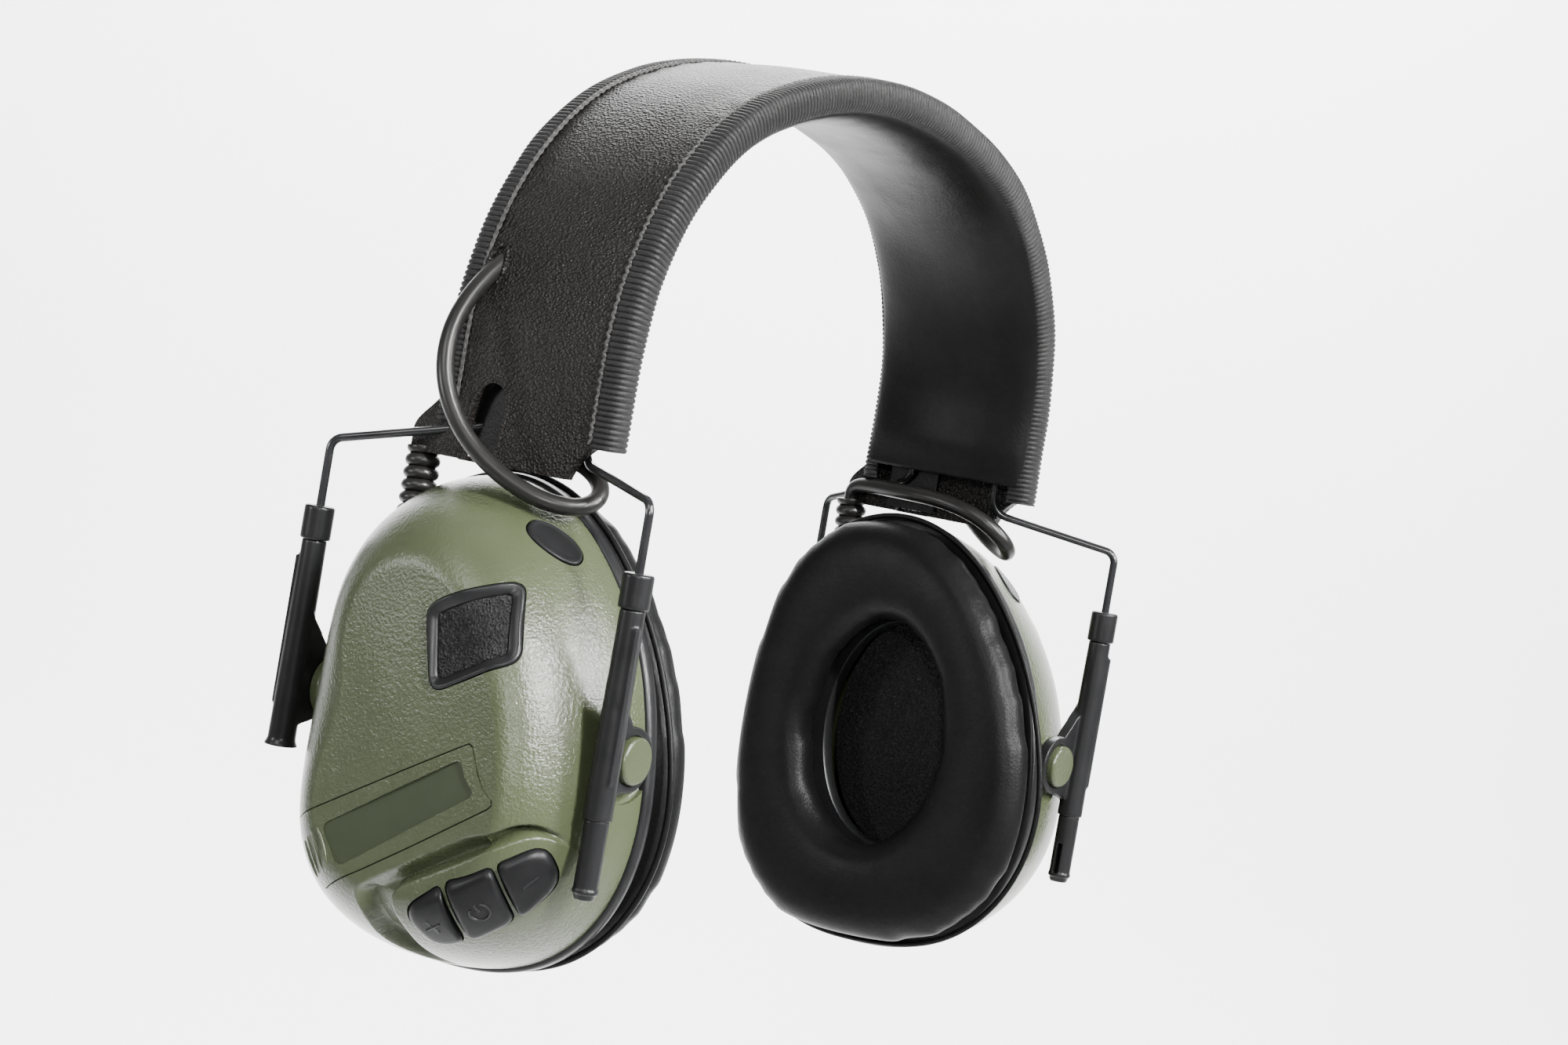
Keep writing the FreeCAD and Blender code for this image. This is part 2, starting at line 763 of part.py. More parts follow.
def ear_prism(name, grow, out, length):
    """The oval ear opening as a prism that runs inwards from X = -out."""
    oval = Part.Ellipse(Vector(), dim("ear_half_tall") + grow, dim("ear_half_wide") + grow)
    face = Part.Face(Part.Wire(oval.toShape()))
    face.rotate(Vector(), Vector(0, 0, 1), 90)
    prism = face.extrude(Vector(0, 0, length))
    made = feature(name, prism)
    made.Placement = Placement(Vector(-out, 0, 0), Rotation(Vector(0, 1, 0), 90).multiply(
        Rotation(Vector(0, 0, 1), 90)))
    return made


def make_cushion():
    """The soft ring round the ear."""
    face = dim("rim_out") - dim("plate_thick")
    thick, bulge = dim("cushion_thick"), dim("cushion_bulge")
    wires = []
    for share, grow in ((0.0, -1.0), (0.18, 1.4), (0.5, bulge), (0.82, 1.0), (1.0, -3.5)):
        wires.append(egg_wire(0.6 - grow, 0.0, face - 0.05 - share * thick))
    form = feature("right_cushion_form", Part.makeLoft(wires, True, False))
    return cut("right_cushion", form, ear_prism("cushion_opening", -1.0, face + 5, 30))


def make_window_parts():
    frame = window_prism(0.0, -3.2, 1.2, 3.0).cut(window_prism(-3.6, -4, 3, 1.0))
    foam = window_prism(-3.75, -3.1, 0.2, 1.0)
    frame_part = placed("right_mic_frame", frame, WINDOW_AT)
    foam_part = placed("right_mic_foam", foam, WINDOW_AT)
    capsule = turned(
        "right_mic_capsule",
        row_frame(*WINDOW_AT).multiply(Placement(Vector(0, 0, -7.6), Rotation())),
        [("0", "0"), ("3", "0"), ("3", "3.4"), ("2.2", "3.4"), ("2.2", "3.8"), ("0", "3.8")],
    )
    return frame_part, foam_part, capsule


def make_port_plug():
    blank = stadium(13.0, 6.8, -2.3, 0.9)
    return placed("right_port_plug", blank, PLUG_AT)


def make_pivot_buttons():
    """The olive discs on which the arms' rings turn, each with a stem pressed into the shell."""
    buttons = []
    for side in (-1, 1):
        outline = [
            ("0", "-6"),
            ("2.95", "-6"),
            ("2.95", "0.02"),
            ("Dims.pivot_radius", "0.02"),
            ("Dims.pivot_radius", "Dims.ring_thick + Dims.pivot_proud - 0.5"),
            ("Dims.pivot_radius - 0.5", "Dims.ring_thick + Dims.pivot_proud"),
            ("0", "Dims.ring_thick + Dims.pivot_proud"),
        ]
        at = (-dim("pivot_out"), side * dim("pivot_seat"), 0)
        buttons.append(turned(f"pivot_button_{side + 1}", along((0, side, 0), at), outline))
    return group("right_pivot_buttons", *buttons)


def make_boot():
    """The ribbed strain relief where the lead leaves the cup."""
    length = BOOT_RUN.Length
    outline = [("Dims.lead_radius", "2"), ("2.9", "2"), ("2.9", "14.4")]
    ribs, start = 5, 15.8
    pitch = (length - start) / ribs
    for i in range(ribs):
        wide = 3.9 - 0.16 * i
        low = start + i * pitch
        outline += [
            (f"{wide - 1.0}", f"{low}"),
            (f"{wide}", f"{low + 0.35}"),
            (f"{wide}", f"{low + pitch - 1.3}"),
            (f"{wide - 1.0}", f"{low + pitch - 0.95}"),
        ]
    outline += [("2.4", f"{length - 0.02}"), ("Dims.lead_radius", f"{length - 0.02}")]
    return turned("right_lead_boot", along(BOOT_RUN, BOOT_FOOT), outline)


def make_screws():
    screws = []
    for count, (y, z) in enumerate(SCREWS):
        outline = [
            ("0", "0"), ("1.05", "0"), ("1.05", "10"), ("1.4", "10"), ("1.4", "12.6"), ("0", "12.6"),
        ]
        place = along((1, 0, 0), (-dim("rim_out") - 10, y, z))
        screws.append(turned(f"cup_screw_{count}", place, outline))
    return group("right_screws", *screws)


def make_speaker():
    """The speaker and the foam liner in front of it, seen through the ear opening."""
    outline = [
        ("0", "0"), ("8", "0"), ("8", "2.4"), ("14.5", "3.4"), ("15", "3.6"), ("15", "5.4"),
        ("13.5", "5.4"), ("11", "4.6"), ("0", "5.2"),
    ]
    speaker = turned("right_speaker", along((1, 0, 0), (-98.9, 0.0, 17.5)), outline)
    liner = ear_prism("right_foam_liner", 2.0, dim("rim_out") + 4.55, 4.5)
    return speaker, liner


def make_battery_parts():
    """Tray, two cells one behind the other, and their end contacts."""
    length, width, depth = 48.6, 13.6, 24.5
    shift = 2.5
    low = Vector(shift - length / 2, -width / 2, -depth - 3.4)
    block = Part.makeBox(length, width, depth, low)
    room = Part.makeBox(length - 2, width - 2, depth, low + Vector(1, 1, 1))
    box = placed("tray_box", block.cut(room), DOOR_AT)
    inside = feature("tray_limit", cup_form(dim("wall") + 0.3))
    tray = common("battery_tray", box, inside)
    cells, contacts = [], []
    long = dim("cell_length")
    for layer, deep in enumerate((-9.6, -20.6)):
        flip = 1 if layer else -1
        middle = row_frame(*DOOR_AT).multiply(
            Placement(
                Vector(shift - flip * long / 2, 0, deep), Rotation(Vector(0, 0, 1), Vector(flip, 0, 0))
            )
        )
        outline = [
            ("0", "0"),
            ("Dims.cell_radius - 0.4", "0"),
            ("Dims.cell_radius", "0.4"),
            ("Dims.cell_radius", "Dims.cell_length - 0.6"),
            ("Dims.cell_radius - 0.6", "Dims.cell_length"),
            ("1.9", "Dims.cell_length"),
            ("1.9", "Dims.cell_length + 0.9"),
            ("0", "Dims.cell_length + 0.9"),
        ]
        cells.append(turned(f"cell_{layer}", middle, outline))
        for end in (-1, 1):
            end_at = shift + end * (length / 2 - 1.22) - 0.2
            plate = Part.makeBox(0.4, 9, 8.6, Vector(end_at, -4.5, deep - 4.3))
            contacts.append(placed(f"contact_{layer}_{end + 1}", plate, DOOR_AT))
    return tray, group("battery_cells", *cells), group("battery_contacts", *contacts)


def make_door(outer):
    """The battery door: the stretch of shell wall inside the door's outline."""
    prism = door_prism("door_prism", -0.05)
    inner = feature("door_inner", cup_form(dim("wall")))
    skin = cut("door_skin", outer, inner)
    return common("battery_door", skin, prism)


def make_keys():
    """Three rubber keys, their switches and the circuit board."""
    keys, switches = [], []
    for count, label in enumerate(("plus", "power", "minus")):
        across = (count - 1) * KEY_PITCH
        cap = Part.makeBox(10.8, 10.9, 5.2, Vector(across - 5.4, -5.45, -6.2))
        upright = [e for e in cap.Edges if abs(e.tangentAt(0).z) > 0.99]
        cap = cap.makeFillet(1.6, upright)
        top = [e for e in cap.Edges if e.BoundBox.ZMin > -1.01]
        cap = cap.makeFillet(0.9, top)
        keys.append(placed(f"key_{label}", cap, KEYS_AT))
        switch = Part.makeBox(6, 6, 2.4, Vector(across - 3, -3, -9.9))
        plunger = Part.makeCylinder(1.6, 0.2, Vector(across, 0, -7.5))
        switches.append(placed(f"switch_{label}", switch.fuse(plunger), KEYS_AT))
    board = Part.makeBox(33, 10, 1.2, Vector(-16.5, -5, -11.15))
    return keys, group("key_switches", *switches), placed("key_board", board, KEYS_AT)


def make_jack():
    """The socket for a 3.5 mm plug from a radio, in the foot of the left cup."""
    outline = ring_outline("3.4", "Dims.jack_radius", "-Dims.jack_length", "0")
    return mirrored("jack_socket", turned("jack_form", along((0, 0, -1), JACK_AT), outline))


def make_parts():
    """Builds every sub-part and returns those that are written, each named by its Label."""
    parts = []
    parts.append(make_spring_wire("spring_wire_front", -1, dim("wire_front"), dim("link_front_rise")))
    parts.append(make_spring_wire("spring_wire_rear", 1, dim("wire_rear"), dim("link_rear_rise")))
    parts += [make_wire_stops(), make_leather(), make_pad(), *make_bindings(), *make_leads()]
    right = []
    for name, side, flared in (("right_arm_front", -1, False), ("right_arm_rear", 1, True)):
        right += [make_arm(name, side, flared), make_arm_cap(name + "_cap", side)]
    right.append(make_end_guide("right_arm_guide", -1))
    right.append(make_base_plate())
    right.append(make_cushion())
    right += make_window_parts()
    right += [make_port_plug(), make_pivot_buttons(), make_boot(), make_screws(), *make_speaker()]
    parts += right
    parts += [mirrored(piece.Label.replace("right", "left"), piece) for piece in right]
    parts += [make_right_shell(), make_left_shell(), make_jack()]
    parts.append(make_door(doc.getObject("right_shell_outer")))
    parts += make_battery_parts()
    keys, switches, board = make_keys()
    parts += [*keys, switches, board]
    return parts


def check(parts):
    """Stops unless every object is up to date and every sub-part is a valid solid."""
    for made in doc.Objects:
        if {"Invalid", "Error"} & set(made.State):
            raise SystemExit(f"{made.Label} failed: {made.State}")
    for part in parts:
        shape = part.Shape
        if shape.isNull() or not shape.isValid() or not shape.Solids:
            raise SystemExit(f"{part.Label} isn't a valid solid")


def main():
    parts = make_parts()
    doc.recompute()
    check(parts)
    os.makedirs("parts", exist_ok=True)
    for part in parts:
        part.Shape.exportStep(f"parts/{part.Label}.step")
        print(f"{part.Label}: {len(part.Shape.Solids)} solids, {part.Shape.Volume / 1000:.2f} cm3")


main()
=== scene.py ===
import json
import math

import bpy
import bmesh
import numpy as np
from mathutils import Matrix, Vector
from mathutils.bvhtree import BVHTree


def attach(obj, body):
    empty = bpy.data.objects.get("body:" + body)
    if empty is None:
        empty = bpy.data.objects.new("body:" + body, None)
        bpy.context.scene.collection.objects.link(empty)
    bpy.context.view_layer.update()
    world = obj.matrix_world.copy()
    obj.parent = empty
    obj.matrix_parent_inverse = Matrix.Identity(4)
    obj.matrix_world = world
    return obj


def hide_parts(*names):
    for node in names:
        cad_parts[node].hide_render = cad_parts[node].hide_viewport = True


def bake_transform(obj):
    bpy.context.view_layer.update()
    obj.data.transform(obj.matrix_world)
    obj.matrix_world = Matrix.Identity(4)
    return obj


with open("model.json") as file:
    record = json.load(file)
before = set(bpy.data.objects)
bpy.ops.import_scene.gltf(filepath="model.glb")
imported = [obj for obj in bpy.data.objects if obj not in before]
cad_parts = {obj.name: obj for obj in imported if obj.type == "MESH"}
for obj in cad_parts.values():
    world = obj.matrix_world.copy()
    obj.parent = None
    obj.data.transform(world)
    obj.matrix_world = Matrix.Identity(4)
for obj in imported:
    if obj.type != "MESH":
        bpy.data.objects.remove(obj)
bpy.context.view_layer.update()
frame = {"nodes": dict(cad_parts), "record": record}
nodes = frame["nodes"]
rng = np.random.default_rng(7)

# Lengths are in millimetres up to make_mesh, which turns them into metres.

# ---------------------------------------------------------------- procedural materials


def make_material(
    name, dark, light, rough, grain=(), mottle=120.0, metal=0.0, coat=0.0, specular=0.34, sheen=0.0
):
    """A surface whose colour and gloss drift with noise. grain lists (kind, scale, strength, depth in mm)."""
    material = bpy.data.materials.new(name)
    material.use_nodes = True
    tree = material.node_tree
    shader = tree.nodes["Principled BSDF"]
    place = tree.nodes.new("ShaderNodeTexCoord")

    def texture(kind, scale, detail=3.0):
        node = tree.nodes.new("ShaderNodeTexVoronoi" if kind == "cells" else "ShaderNodeTexNoise")
        node.inputs["Scale"].default_value = scale
        if kind != "cells":
            node.inputs["Detail"].default_value = detail
        tree.links.new(place.outputs["Object"], node.inputs["Vector"])
        return node

    drift = texture("noise", mottle, 6.0)
    ramp = tree.nodes.new("ShaderNodeValToRGB")
    ramp.color_ramp.elements[0].position, ramp.color_ramp.elements[1].position = 0.2, 0.8
    ramp.color_ramp.elements[0].color = (*dark, 1)
    ramp.color_ramp.elements[1].color = (*light, 1)
    tree.links.new(drift.outputs[0], ramp.inputs[0])
    tree.links.new(ramp.outputs[0], shader.inputs["Base Color"])

    gloss = texture("noise", mottle * 2.3, 4.0)
    span = tree.nodes.new("ShaderNodeMapRange")
    span.inputs["To Min"].default_value, span.inputs["To Max"].default_value = rough
    tree.links.new(gloss.outputs[0], span.inputs["Value"])
    tree.links.new(span.outputs[0], shader.inputs["Roughness"])

    last = None
    for kind, scale, strength, depth in grain:
        source = texture(kind, scale)
        bump = tree.nodes.new("ShaderNodeBump")
        bump.inputs["Strength"].default_value = strength
        bump.inputs["Distance"].default_value = depth * 0.001
        tree.links.new(source.outputs[0], bump.inputs["Height"])
        if last:
            tree.links.new(last.outputs[0], bump.inputs["Normal"])
        last = bump
    if last:
        tree.links.new(last.outputs[0], shader.inputs["Normal"])
    shader.inputs["Metallic"].default_value = metal
    shader.inputs["Coat Weight"].default_value = coat
    shader.inputs["Coat Roughness"].default_value = 0.2
    shader.inputs["Specular IOR Level"].default_value = specular
    shader.inputs["Sheen Weight"].default_value = sheen
    return material


OLIVE = make_material(
    "olive_plastic", (0.041, 0.050, 0.025), (0.049, 0.059, 0.031), (0.16, 0.23),
    [("noise", 1200.0, 0.6, 0.27), ("noise", 2700.0, 0.5, 0.14)], mottle=90.0, specular=0.42,
)
OLIVE_SMOOTH = make_material(
    "olive_plastic_smooth", (0.022, 0.029, 0.013), (0.026, 0.033, 0.016), (0.34, 0.44),
    [("noise", 900.0, 0.08, 0.1)],
)
ARM_PLASTIC = make_material(
    "arm_plastic", (0.006, 0.006, 0.0065), (0.011, 0.011, 0.0115), (0.26, 0.40),
    [("noise", 500.0, 0.18, 0.15), ("noise", 1800.0, 0.15, 0.08)], specular=0.24,
)
WIRE = make_material(
    "wire", (0.008, 0.008, 0.009), (0.015, 0.015, 0.016), (0.12, 0.22),
    [("noise", 700.0, 0.05, 0.05)], coat=0.5,
)
STEEL = make_material(
    "steel", (0.45, 0.45, 0.46), (0.6, 0.6, 0.6), (0.22, 0.4),
    [("noise", 900.0, 0.1, 0.05)], metal=1.0,
)
LEATHER = make_material(
    "headband_leather", (0.005, 0.0045, 0.0042), (0.011, 0.0095, 0.0085), (0.34, 0.46),
    [("cells", 1500.0, 1.0, 0.45), ("noise", 1000.0, 0.6, 0.35), ("noise", 110.0, 0.12, 0.8)],
    mottle=40.0, specular=0.26,
)
LEATHERETTE = make_material(
    "leatherette", (0.0035, 0.0035, 0.0035), (0.006, 0.006, 0.006), (0.34, 0.46),
    [("cells", 1400.0, 0.25, 0.15), ("noise", 90.0, 0.25, 0.8)], mottle=60.0, specular=0.1,
)
BINDING = make_material(
    "binding", (0.007, 0.0068, 0.007), (0.014, 0.0135, 0.0135), (0.42, 0.62),
    [("noise", 1800.0, 0.5, 0.3), ("noise", 500.0, 0.3, 0.3)], specular=0.2, sheen=0.05,
)
THREAD = make_material(
    "thread", (0.016, 0.0155, 0.015), (0.035, 0.034, 0.032), (0.5, 0.7),
    [("noise", 2000.0, 0.5, 0.2)], sheen=0.2,
)
CABLE = make_material(
    "cable", (0.007, 0.0068, 0.0066), (0.011, 0.0105, 0.010), (0.28, 0.38),
    [("noise", 350.0, 0.12, 0.15), ("noise", 1500.0, 0.12, 0.06)],
)
RUBBER = make_material(
    "rubber", (0.0045, 0.0045, 0.0048), (0.008, 0.008, 0.0085), (0.34, 0.46),
    [("noise", 1300.0, 0.2, 0.1)], specular=0.16,
)
MARK = make_material(
    "rubber_mark", (0.008, 0.008, 0.0085), (0.012, 0.012, 0.0125), (0.26, 0.38),
    [("noise", 1300.0, 0.2, 0.1)], specular=0.2,
)
FOAM = make_material(
    "foam", (0.006, 0.006, 0.006), (0.020, 0.020, 0.020), (0.7, 0.95),
    [("cells", 1500.0, 1.0, 1.2), ("noise", 1900.0, 0.8, 0.8)], mottle=1300.0,
)
SPEAKER = make_material(
    "speaker_plastic", (0.012, 0.012, 0.012), (0.02, 0.02, 0.02), (0.4, 0.6),
    [("noise", 900.0, 0.2, 0.1)],
)
CELL_WRAP = make_material(
    "cell_wrap", (0.05, 0.05, 0.055), (0.09, 0.09, 0.095), (0.3, 0.45),
    [("noise", 300.0, 0.1, 0.1)],
)
BOARD = make_material(
    "board", (0.01, 0.05, 0.02), (0.015, 0.075, 0.03), (0.35, 0.5),
    [("noise", 500.0, 0.2, 0.1)],
)
PAPER = make_material(
    "studio_floor", (0.80, 0.80, 0.80), (0.84, 0.84, 0.84), (0.7, 0.9),
    [("noise", 60.0, 0.05, 0.2)], mottle=3.0,
)

FINISHES = {
    "olive_plastic": OLIVE, "arm_plastic": ARM_PLASTIC, "wire": WIRE, "steel": STEEL,
    "headband_leather": LEATHER, "leatherette": LEATHERETTE, "binding": BINDING, "cable": CABLE,
    "rubber": RUBBER, "foam": FOAM, "speaker_plastic": SPEAKER, "cell_wrap": CELL_WRAP, "board": BOARD,
}
SLOT_OF = {part["node"]: part["material_slot"] for part in frame["record"]["subparts"]}

for label, node in nodes.items():
    for held in node.material_slots:
        held.material = FINISHES[SLOT_OF[label]]

# ---------------------------------------------------------------- mesh helpers


def link(name, data):
    made = bpy.data.objects.new(name, data)
    bpy.context.scene.collection.objects.link(made)
    return made


def make_mesh(name, points, faces, *finishes, sharp=40.0):
    """An object from points in millimetres, with outward normals and smooth shading up to a sharp angle."""
    mesh = bpy.data.meshes.new(name)
    mesh.from_pydata((np.asarray(points) * 0.001).tolist(), [], [list(f) for f in faces])
    work = bmesh.new()
    work.from_mesh(mesh)
    bmesh.ops.recalc_face_normals(work, faces=work.faces)
    work.to_mesh(mesh)
    work.free()
    for finish in finishes:
        mesh.materials.append(finish)
    made = link(name, mesh)
    shade(made, sharp)
    return made


def shade(made, sharp=40.0):
    made.data.shade_smooth()
    made.data.set_sharp_from_angle(angle=math.radians(sharp))


def bake(made):
    """Applies the object's modifiers to its mesh."""
    bpy.context.view_layer.update()
    evaluated = made.evaluated_get(bpy.context.evaluated_depsgraph_get())
    mesh = bpy.data.meshes.new_from_object(evaluated)
    made.modifiers.clear()
    made.data = mesh


def combine(made, other, how):
    """A boolean of two closed meshes, how being DIFFERENCE, UNION or INTERSECT. The other one is used up."""
    step = made.modifiers.new("boolean", "BOOLEAN")
    step.object, step.operation, step.solver = other, how, "MANIFOLD"
    bake(made)
    bpy.data.objects.remove(other)


def soften(made, voxel, rounds):
    """Rounds every edge of a closed mesh a little, as moulding does."""
    step = made.modifiers.new("remesh", "REMESH")
    step.mode, step.voxel_size = "VOXEL", voxel * 0.001
    step = made.modifiers.new("smooth", "SMOOTH")
    step.factor, step.iterations = 0.5, rounds
    bake(made)
    shade(made, 60.0)


def grid_faces(rows, cols, wrap_rows=False, wrap_cols=True):
    row = np.arange(rows if wrap_rows else rows - 1)
    col = np.arange(cols if wrap_cols else cols - 1)
    r, c = np.meshgrid(row, col, indexing="ij")
    up, right = (r + 1) % rows, (c + 1) % cols
    quads = np.stack([r * cols + c, r * cols + right, up * cols + right, up * cols + c], -1)
    return quads.reshape(-1, 4).tolist()


def lofted(name, rings, *finishes, closed=False, sharp=40.0):
    """A skin through rings of equally many points, capped at both ends unless it closes on itself."""
    rings = np.asarray(rings, float)
    rows, cols = rings.shape[:2]
    points = rings.reshape(-1, 3)
    faces = grid_faces(rows, cols, wrap_rows=closed)
    if not closed:
        caps = []
        for ring, base in ((rings[0], 0), (rings[-1], (rows - 1) * cols)):
            middle = len(points) + len(caps)
            caps.append(ring.mean(axis=0))
            faces += [[base + i, base + (i + 1) % cols, middle] for i in range(cols)]
        points = np.vstack([points, caps])
    return make_mesh(name, points, faces, *finishes, sharp=sharp)


def spline(control, per_span=14):
    """A smooth curve drawn by control points, from the first to the last."""
    p = np.asarray(control, float)
    p = np.vstack([2 * p[0] - p[1], p, 2 * p[-1] - p[-2]])
    t = np.linspace(0, 1, per_span, endpoint=False)[:, None]
    w = [(1 - t) ** 3, 3 * t**3 - 6 * t**2 + 4, -3 * t**3 + 3 * t**2 + 3 * t + 1, t**3]
    spans = [sum(w[k] * p[i + k] for k in range(4)) / 6 for i in range(len(p) - 3)]
    return np.vstack([*spans, [p[-2]]])


def tube_rings(path, radius, sides=20, closed=False):
    """Circles along a path that don't twist. radius is one number, or one for each point."""
    path = np.asarray(path, float)
    radius = np.broadcast_to(radius, len(path))
    if closed:
        run = np.roll(path, -1, 0) - np.roll(path, 1, 0)
    else:
        run = np.gradient(path, axis=0)
    run /= np.linalg.norm(run, axis=1)[:, None]
    side = np.cross(run[0], (0.3, 0.5, 0.81))
    rings = []
    angle = np.linspace(0, 2 * math.pi, sides, endpoint=False)[:, None]
    for at, ahead, wide in zip(path, run, radius):
        side = side - ahead * (side @ ahead)
        side /= np.linalg.norm(side)
        up = np.cross(ahead, side)
        rings.append(at + wide * (np.cos(angle) * side + np.sin(angle) * up))
    return rings


def tube(name, path, radius, finish, sides=20, closed=False):
    return lofted(name, tube_rings(path, radius, sides, closed), finish, closed=closed)


def signed_power(value, power):
    """A power that keeps the sign, which squares off a circle's sine and cosine when it is below 1."""
    return np.sign(value) * np.abs(value) ** power


def smooth_step(value, low, high):
    t = np.clip((value - low) / (high - low), 0, 1)
    return t * t * (3 - 2 * t)


def rounded(corners, radius, steps=7):
    """An outline with its corners rounded. radius is one reach along the sides, or one for each corner."""
    corners = np.asarray(corners, float)
    radius = np.broadcast_to(radius, len(corners))
    points = []
    for i, corner in enumerate(corners):
        back, ahead = corners[i - 1] - corner, corners[(i + 1) % len(corners)] - corner
        first = corner + back / np.linalg.norm(back) * radius[i]
        last = corner + ahead / np.linalg.norm(ahead) * radius[i]
        for t in np.linspace(0, 1, steps):
            points.append((1 - t) ** 2 * first + 2 * t * (1 - t) * corner + t * t * last)
    return np.array(points)


def even(outline, count):
    """The same closed outline as equally spaced points."""
    loop = np.vstack([outline, outline[:1]])
    along = np.concatenate([[0], np.cumsum(np.linalg.norm(np.diff(loop, axis=0), axis=1))])
    where = np.linspace(0, along[-1], count, endpoint=False)
    return np.stack([np.interp(where, along, loop[:, k]) for k in range(loop.shape[1])], -1)


def drawn_in(outline, inset):
    """A convex outline drawn in towards its middle."""
    middle = outline.mean(axis=0)
    spoke = outline - middle
    reach = np.linalg.norm(spoke, axis=1)[:, None]
    return middle + spoke * np.maximum(1 - inset / reach, 0)


def distance_inside(points, outline):
    """How far each point lies inside a closed outline, negative outside."""
    a, b = outline, np.roll(outline, -1, 0)
    best = np.full(len(points), 1e9)
    inside = np.zeros(len(points), bool)
    for p, q in zip(a, b):
        run = q - p
        t = np.clip(((points - p) @ run) / (run @ run), 0, 1)
        best = np.minimum(best, np.linalg.norm(points - p - t[:, None] * run, axis=1))
        crosses = (p[1] > points[:, 1]) != (q[1] > points[:, 1])
        if abs(run[1]) > 1e-12:
            inside ^= crosses & (points[:, 0] < p[0] + (points[:, 1] - p[1]) * run[0] / run[1])
    return np.where(inside, best, -best)


# ---------------------------------------------------------------- hanging pieces on their bodies, in place of CAD parts


def settle(made, slot, body, *replaced):
    for node in replaced:
        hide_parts(node)
    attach(made, body)
    return made


def mirrored(made, name):
    mesh = made.data.copy()
    mesh.transform(Matrix.Scale(-1, 4, (1, 0, 0)))
    mesh.flip_normals()
    return link(name, mesh)


def settle_both(made, slot, body, *replaced):
    """Settles a right piece and its mirror image on the left."""
    other = mirrored(made, made.name.replace("right", "left"))
    settle(made, slot, body, *replaced)
    settle(other, slot, body.replace("right", "left"), *(n.replace("right", "left") for n in replaced))
    return made, other


# ---------------------------------------------------------------- the cup's form

RIM_OUT, CUP_DEEP, CUP_MIDDLE, WALL = 88.5, 34.0, -2.0, 2.2
SHOULDER_POWER = 1.16
PIVOT_OUT = 96.0

# The rim's radii every 30 degrees from the top, forwards first, the same as in the CAD part.
CUP_RADII = np.array([56.8, 48.7, 43.3, 43.0, 48.6, 53.4, 53.2, 53.2, 45.0, 40.8, 45.0, 55.4])


def rim_radius(theta):
    """The rim's radius all round, from the top forwards, as a smooth closed curve through CUP_RADII."""
    v, n = CUP_RADII, len(CUP_RADII)
    system = 4 * np.eye(n) + np.roll(np.eye(n), 1, 0) + np.roll(np.eye(n), -1, 0)
    bend = np.linalg.solve(system, 6 * (np.roll(v, -1) - 2 * v + np.roll(v, 1)))
    x = (theta / (2 * math.pi)) % 1.0 * n
    i = np.floor(x).astype(int) % n
    j, t = (i + 1) % n, x - np.floor(x)
    a = 1 - t
    return a * v[i] + t * v[j] + ((a**3 - a) * bend[i] + (t**3 - t) * bend[j]) / 6


def cup_rings(inset, turns, steps, face_rows):
    """Rings from the rim over the shoulder to the middle of the flat face."""
    theta = np.linspace(0, 2 * math.pi, turns, endpoint=False)
    across, up = np.sin(theta), np.cos(theta)
    radius = rim_radius(theta) - inset
    shoulder = 20.0 - 4.2 * across + 1.7 * up
    rings = []
    for t in np.linspace(0, math.pi / 2, steps):
        share = math.sin(t) ** SHOULDER_POWER
        drawn = 1 - max(math.cos(t), 0.0) ** SHOULDER_POWER
        reach = radius - drawn * shoulder
        out = RIM_OUT + share * (CUP_DEEP - inset)
        rings.append(np.stack([np.full(turns, -out), -reach * across, CUP_MIDDLE + reach * up], -1))
    edge = rings[-1].copy()
    middle = np.array([0.0, 0.0, CUP_MIDDLE])
    for f in np.linspace(1, 0, face_rows)[1:]:
        ring = edge.copy()
        ring[:, 1:] = middle[1:] + (edge[:, 1:] - middle[1:]) * max(f, 0.004)
        ring[:, 0] -= 0.6 * (0.5 + 0.5 * math.cos(math.pi * f))
        rings.append(ring)
    return np.array(rings)


SKIN = cup_rings(0.0, turns=840, steps=64, face_rows=92)
SKIN_TREE = BVHTree.FromPolygons(
    SKIN.reshape(-1, 3).tolist(), grid_faces(SKIN.shape[0], SKIN.shape[1])
)


